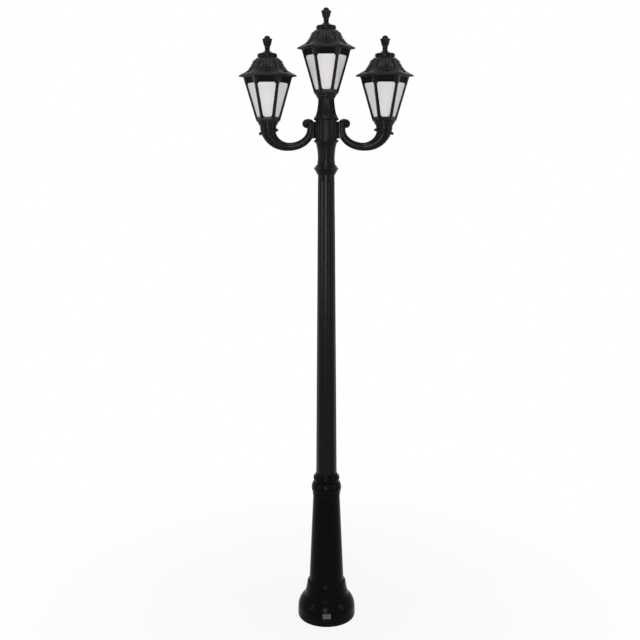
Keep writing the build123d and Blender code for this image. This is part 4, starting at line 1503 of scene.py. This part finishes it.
    def frieze(self, mould: Mould) -> None:
        """Adds the sunk band over one window, with a fine bead along its lower edge; its colour is darkened as
        painted shade, as if the eave shaded it.

        Args:
            mould: the facet's mould.
        """
        half = self.window_half()[2] - self.cant + self.frieze_lap
        low = self.cage_high - self.window_drop
        high = self.cage_high - 0.001
        back = self.wall - 0.0004
        bead = [(low + rise * MM, self.frieze_inset + inset * MM) for rise, inset in self.frieze_bead]
        section = [(low, back), *bead, (high, bead[-1][1]), (high, back)]
        # the band's points carry the recess wear, which darkens its colour as painted shade
        ends = [mould.ring([self.on_facet(across, height, inset) for height, inset in section], SHADED_RECESS)
                for across in (-half, half)]
        mould.skin(ends)
        mould.cap(ends)

    def facet_unit(self) -> Object:
        """Makes one sixth of the cage, facing +X: a framed window, with its share of the floor and top edge.

        Returns:
            The unit, open where it meets its neighbours.
        """
        mould = Mould()
        low = self.cage_low
        high = self.cage_high
        floor = low + self.floor
        tilt = tan(HALF_FACET)
        loops = []
        for index, (grow, inset) in enumerate(self.reveal):
            points = [self.on_facet(across, height, inset * MM) for across, height in self.window(grow * MM)]
            loops.append(mould.ring(points, wear_and_shade=0.7 if index in (1, 2) else 0.0))
        mould.skin(loops)
        frames = []
        for base, inset in ((low, 0.0), (floor, self.wall)):
            points = []
            for height in (base, high):
                half = (self.cage_radius(height) * cos(HALF_FACET) - inset) * tilt
                ends = (half, -half) if height == high else (-half, half)
                points += [self.on_facet(across, height, inset) for across in ends]
            frames.append(mould.ring(points))
        for frame_ring, window_ring in ((frames[0], loops[0]), (frames[1], loops[-1])):
            numbers = frame_ring + window_ring
            flat = [[Vector((mould.points[i].y, mould.points[i].z, 0)) for i in ring]
                    for ring in (frame_ring, window_ring)]
            mould.faces += [tuple(numbers[i] for i in triangle) for triangle in tessellate_polygon(flat)]
        mould.faces.append((frames[0][2], frames[0][3], frames[1][3], frames[1][2]))
        arcs = []
        sweep = [HALF_FACET * (step / 4 - 1) for step in range(9)]
        for height in (low, floor):
            points = [Vector((self.nipple * cos(t), self.nipple * sin(t), height)) for t in sweep]
            arcs.append(mould.ring(points))
        mould.skin(arcs, around=False)
        for frame_ring, arc in ((frames[0], arcs[0]), (frames[1], arcs[1])):
            mould.faces.append((frame_ring[0], frame_ring[1], *reversed(arc)))
        self.frieze(mould)
        return mould.build(self.named("cage_facet"), whole=False)

    def cage(self, shop: Workshop) -> Object:
        """Sets the six facets in a ring."""
        return shop.circle(self.facet_unit(), 6, HALF_FACET, self.axis)

    def roof_outline(self) -> list[tuple[float, float, float]]:
        """Follows the roof's hip over the outside to the stud hole and back underneath.

        Returns:
            Corner radius, height and roundness (1 is a circle) of each point.
        """
        outside = trace(corners_of(0.0, self.eave + self.dome), False)
        inside = trace(corners_of(0.0, self.roof_inside), False)
        top = [(out * MM, up * MM, roundness) for out, up, roundness in self.roof_top]
        return ([(out, up, 0.0) for out, up, _ in outside] + top
                + [(out, up, 0.0) for out, up, _ in inside])

    def facet_angles(self) -> list[float]:
        """Spaces a six-sided ring's points, crowded at the corners.

        Returns:
            Their angles.
        """
        right = [0.2, 0.4, 0.65, 0.85, 0.93, 0.965, 0.985]
        steps = [-1.0, *(-step for step in reversed(right)), 0.0, *right]
        return [radians(60) * facet + HALF_FACET * (1 + step) for facet in range(6) for step in steps]

    def roof(self) -> Object:
        """Makes the domed roof, with a fine groove down each hip.

        Returns:
            The roof.
        """
        mould = Mould()
        rings = []
        outline = self.roof_outline()
        angles = self.facet_angles()
        for index, (out, up, roundness) in enumerate(outline):
            on_dome = roundness == 0.0 and up > self.brim_height and index < len(outline) / 2
            points = []
            for angle in angles:
                off = (angle + HALF_FACET) % radians(60) - HALF_FACET
                flat = out * cos(HALF_FACET) / cos(HALF_FACET - abs(off))
                radius = flat + (out - flat) * roundness
                if on_dome:
                    hip = abs(off) * out
                    radius -= self.groove_depth * exp(-(hip / self.groove_width) ** 2)
                points.append(Vector((radius * cos(angle), radius * sin(angle), up)))
            rings.append(mould.ring(points, wear_and_shade=0.5 if index < 9 else 0.0))
        mould.skin(rings, wrap=True)
        return mould.build(self.named("domed_roof"), self.axis)

    def palmette(self) -> Object:
        """Makes the relief on one roof facet: long leaves, a rosette, three beads and the beads of one hip.

        Returns:
            The relief, facing +X, with the lantern's axis at the origin.
        """
        hip = trace(corners_of(0.0, self.eave[-1:] + self.dome), False)
        ground = Ground(tuple(Vector((out * cos(HALF_FACET), up)) for out, up, _ in hip), BOW_STEPS)
        mould = Mould()
        for hand in (-1, 1):
            for lobe in self.lobes:
                foot, low, tip, high, width, height = (size * MM for size in lobe)
                ground.lobe(mould, Vector((hand * foot, low)), Vector((hand * tip, high)), width, height)
        for across, rise in self.beads:
            middle = Vector((across * MM, rise * MM))
            edge = [middle + Vector((cos(t), sin(t))) * self.bead_radius for t in round_angles(12)]
            ground.cushion(mould, edge, middle, self.bead_height)
        middle = Vector((0, self.rosette_rise))
        rings = [mould.ring([ground.point(*middle, -ground.sink)])]
        for out, lift in self.rosette:
            places = [middle + Vector((cos(t), sin(t))) * (out * MM) for t in round_angles(28)]
            rings.append(mould.ring([ground.point(*place, lift * MM) for place in places], BEAD_WEAR))
        rings.append(mould.ring([ground.point(*middle, self.rosette_height)], BEAD_WEAR))
        mould.skin(rings)
        for out, up, _ in hip[BOW_STEPS + 2:2 * BOW_STEPS + 5:2]:
            mould.ball(Vector((out * cos(HALF_FACET), out * sin(HALF_FACET), up)), self.hip_bead)
        return mould.build(self.named("facet_relief"))

    def crown(self) -> Object:
        """Turns the stepped disc on the roof."""
        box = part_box(self.named("crown"))
        return turned(self.named("crown_disc"), box, self.disc, self.disc_head, reach=self.axis.x)

    def finial(self, shop: Workshop) -> Object:
        """Makes the finial: flared foot, ball, collar, fluted urn, a ring of leaves and a dome.

        Args:
            shop: the node trees.

        Returns:
            The finial.
        """
        low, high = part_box(self.named("finial"))
        outline = (corners_of(low.z - self.axis.z, self.stud) + corners_of(self.finial_foot, self.baluster)
                   + corners_of(high.z - self.axis.z, self.tip))
        core = Mould().turn(outline, closed=False, sides=64).build(self.named("finial_core"), self.axis)
        foot = self.axis.z + self.finial_foot
        urn = self.urn.run(shop.urn, self.named("finial_urn"), foot + self.urn_low, foot + self.urn_high,
                           reach=self.axis.x)
        leaf = Mould()
        rings = []
        for rise, half, out in self.leaf:
            height = self.finial_foot + rise * MM
            points = [Vector(((out + depth) * MM, half * MM * share, height))
                      for depth, share in self.leaf_section]
            rings.append(leaf.ring(points, wear_and_shade=0.5))
        leaf.skin(rings)
        leaf.cap(rings)
        leaves = shop.circle(leaf.build(self.named("finial_leaf")), self.leaf_count, 0.0, self.axis)
        return joined(self.named("urn_finial"), [core, urn, leaves])

    def dress(self, shop: Workshop) -> None:
        """Builds the lantern's pieces and fits them to their bodies.

        Args:
            shop: the node trees.
        """
        roof_body = self.named(Body.ROOF.value)
        fit(self.cup(), Body.POST.value, HEAD_RESIN, self.named("cup"))
        fit(self.cage(shop), Body.POST.value, HEAD_RESIN, self.named("cage"))
        fit(self.roof(), roof_body, ROOF_RESIN, self.named("roof"))
        fit(shop.circle(self.palmette(), 6, HALF_FACET, self.axis), roof_body, HEAD_RESIN)
        fit(self.crown(), roof_body, HEAD_RESIN, self.named("crown"))
        fit(self.finial(shop), self.named(Body.FINIAL.value), HEAD_RESIN, self.named("finial"))


@dataclass(frozen=True)
class Softbox:
    """A softbox: where it hangs, the height on the pole's axis that it faces, its sizes and its watts."""

    name: str
    place: tuple[float, float, float]
    aim: float
    width: float
    height: float
    power: float

    def hang(self) -> None:
        """Hangs it in the scene."""
        light = bpy.data.lights.new(self.name, "AREA")
        light.shape = "RECTANGLE"
        light.size = self.width
        light.size_y = self.height
        light.energy = self.power
        lamp = placed(self.name, light)
        lamp.location = self.place
        facing = Vector((0, 0, self.aim)) - Vector(self.place)
        lamp.rotation_euler = facing.to_track_quat("-Z", "Y").to_euler()


@dataclass
class Studio:
    """The floor, the lights, the white surroundings and the camera."""

    floor_half: float = 14.0
    floor_z: float = -0.0005
    floor_share: float = 0.88
    floor_fade: float = 1.6
    camera_place: tuple[float, float, float] = (-0.0247, -3.40, 1.819)
    camera_down: float = 9.9
    camera_roll: float = -0.10
    lens: float = 50.0
    sensor: float = 36.0
    sky: float = 0.07
    softboxes: tuple[Softbox, ...] = (
        Softbox("key_front", (-0.45, -4.2, 1.90), 1.90, 0.55, 2.2, 72.0),
        Softbox("top_front", (-0.30, -1.23, 4.78), 2.15, 0.9, 0.9, 36.0),
        Softbox("side_left", (-3.29, -1.46, 1.9), 1.95, 0.6, 2.5, 20.0),
        Softbox("side_right", (3.29, -1.46, 1.9), 1.95, 0.8, 2.5, 24.0),
        Softbox("back", (0.60, 4.0, 2.5), 1.95, 1.4, 2.2, 36.0),
    )

    def seen(self, graph: Graph) -> Value:
        """Gives 1 for rays that look at the surroundings, straight, mirrored or through glass."""
        path = graph.node("ShaderNodeLightPath")
        return path.output("Is Camera Ray").at_least(path.output("Is Glossy Ray")).at_least(
            path.output("Is Transmission Ray"))

    def floor(self) -> None:
        """Lays the pale floor, white to the eye further off, which keeps the post's shadow near it."""
        half = self.floor_half
        mould = Mould()
        edges = ((-half, -half), (half, -half), (half, half), (-half, half))
        mould.faces.append(tuple(mould.ring([Vector((x, y, self.floor_z)) for x, y in edges])))
        plane = mould.build("studio_floor", whole=False)
        material = bpy.data.materials.new("studio_floor")
        graph = emptied(material)
        matt = graph.node("ShaderNodeBsdfDiffuse", inputs={"Color": (0.9, 0.9, 0.9, 1)})
        glow = graph.node("ShaderNodeEmission", inputs={"Color": (1, 1, 1, 1), "Strength": 1.0})
        far = graph.node("ShaderNodeVectorMath", {"operation": "LENGTH"}, {0: graph.place()}, "Value")
        fade = (far / self.floor_fade).at_most(1.0)
        white = self.seen(graph) * (self.floor_share + (1 - self.floor_share) * fade)
        mixed = graph.node("ShaderNodeMixShader", inputs={0: white, 1: matt, 2: glow})
        graph.end("ShaderNodeOutputMaterial", mixed)
        plane.data.materials.append(material)

    def surroundings(self) -> None:
        """Makes the world white to the eye and a soft light to the rest."""
        world = bpy.data.worlds.new("studio")
        graph = emptied(world)
        soft = graph.node("ShaderNodeBackground", inputs={"Color": (1, 1, 1, 1), "Strength": self.sky})
        white = graph.node("ShaderNodeBackground", inputs={"Color": (1, 1, 1, 1), "Strength": 1.0})
        mixed = graph.node("ShaderNodeMixShader", inputs={0: self.seen(graph), 1: soft, 2: white})
        graph.end("ShaderNodeOutputWorld", mixed)
        bpy.context.scene.world = world

    def camera(self) -> None:
        """Stands the camera where the photograph was taken from."""
        data = bpy.data.cameras.new("studio_camera")
        data.lens = self.lens
        data.sensor_width = self.sensor
        camera = placed("studio_camera", data)
        camera.location = self.camera_place
        down = Matrix.Rotation(radians(90 - self.camera_down), 4, "X")
        camera.rotation_euler = (down @ Matrix.Rotation(radians(self.camera_roll), 4, "Z")).to_euler()
        bpy.context.scene.camera = camera

    def dress(self) -> None:
        """Sets up the studio."""
        bpy.context.scene.view_settings.view_transform = "Standard"
        self.floor()
        self.surroundings()
        for softbox in self.softboxes:
            softbox.hang()
        self.camera()


def dress_carried_nodes() -> None:
    """Gives every CAD node its finish by its slot in the record."""
    finishes = {finish.slot: finish for finish in CARRIED_FINISHES}
    for subpart in frame["record"]["subparts"]:
        node = frame["nodes"][subpart["node"]]
        node.data.materials.clear()
        node.data.materials.append(finishes[subpart["material_slot"]].material())


def main() -> None:
    """Builds the lamp post's pieces in order, then the studio."""
    logging.basicConfig(level=logging.INFO, format="%(name)s: %(message)s")
    dress_carried_nodes()
    shop = Workshop.open()
    Foot().dress()
    Pole().dress(shop)
    Hub().dress(shop)
    for hand in (-1, 1):
        Arm(hand).dress()
    seats = {Side.LEFT: (-SIDE_REACH, SIDE_SEAT), Side.CENTRE: (0.0, CENTRE_SEAT),
             Side.RIGHT: (SIDE_REACH, SIDE_SEAT)}
    for side, (reach, seat) in seats.items():
        Lantern(side, Vector((reach, 0, seat))).dress(shop)
    Studio().dress()


if __name__ == "__main__":
    main()
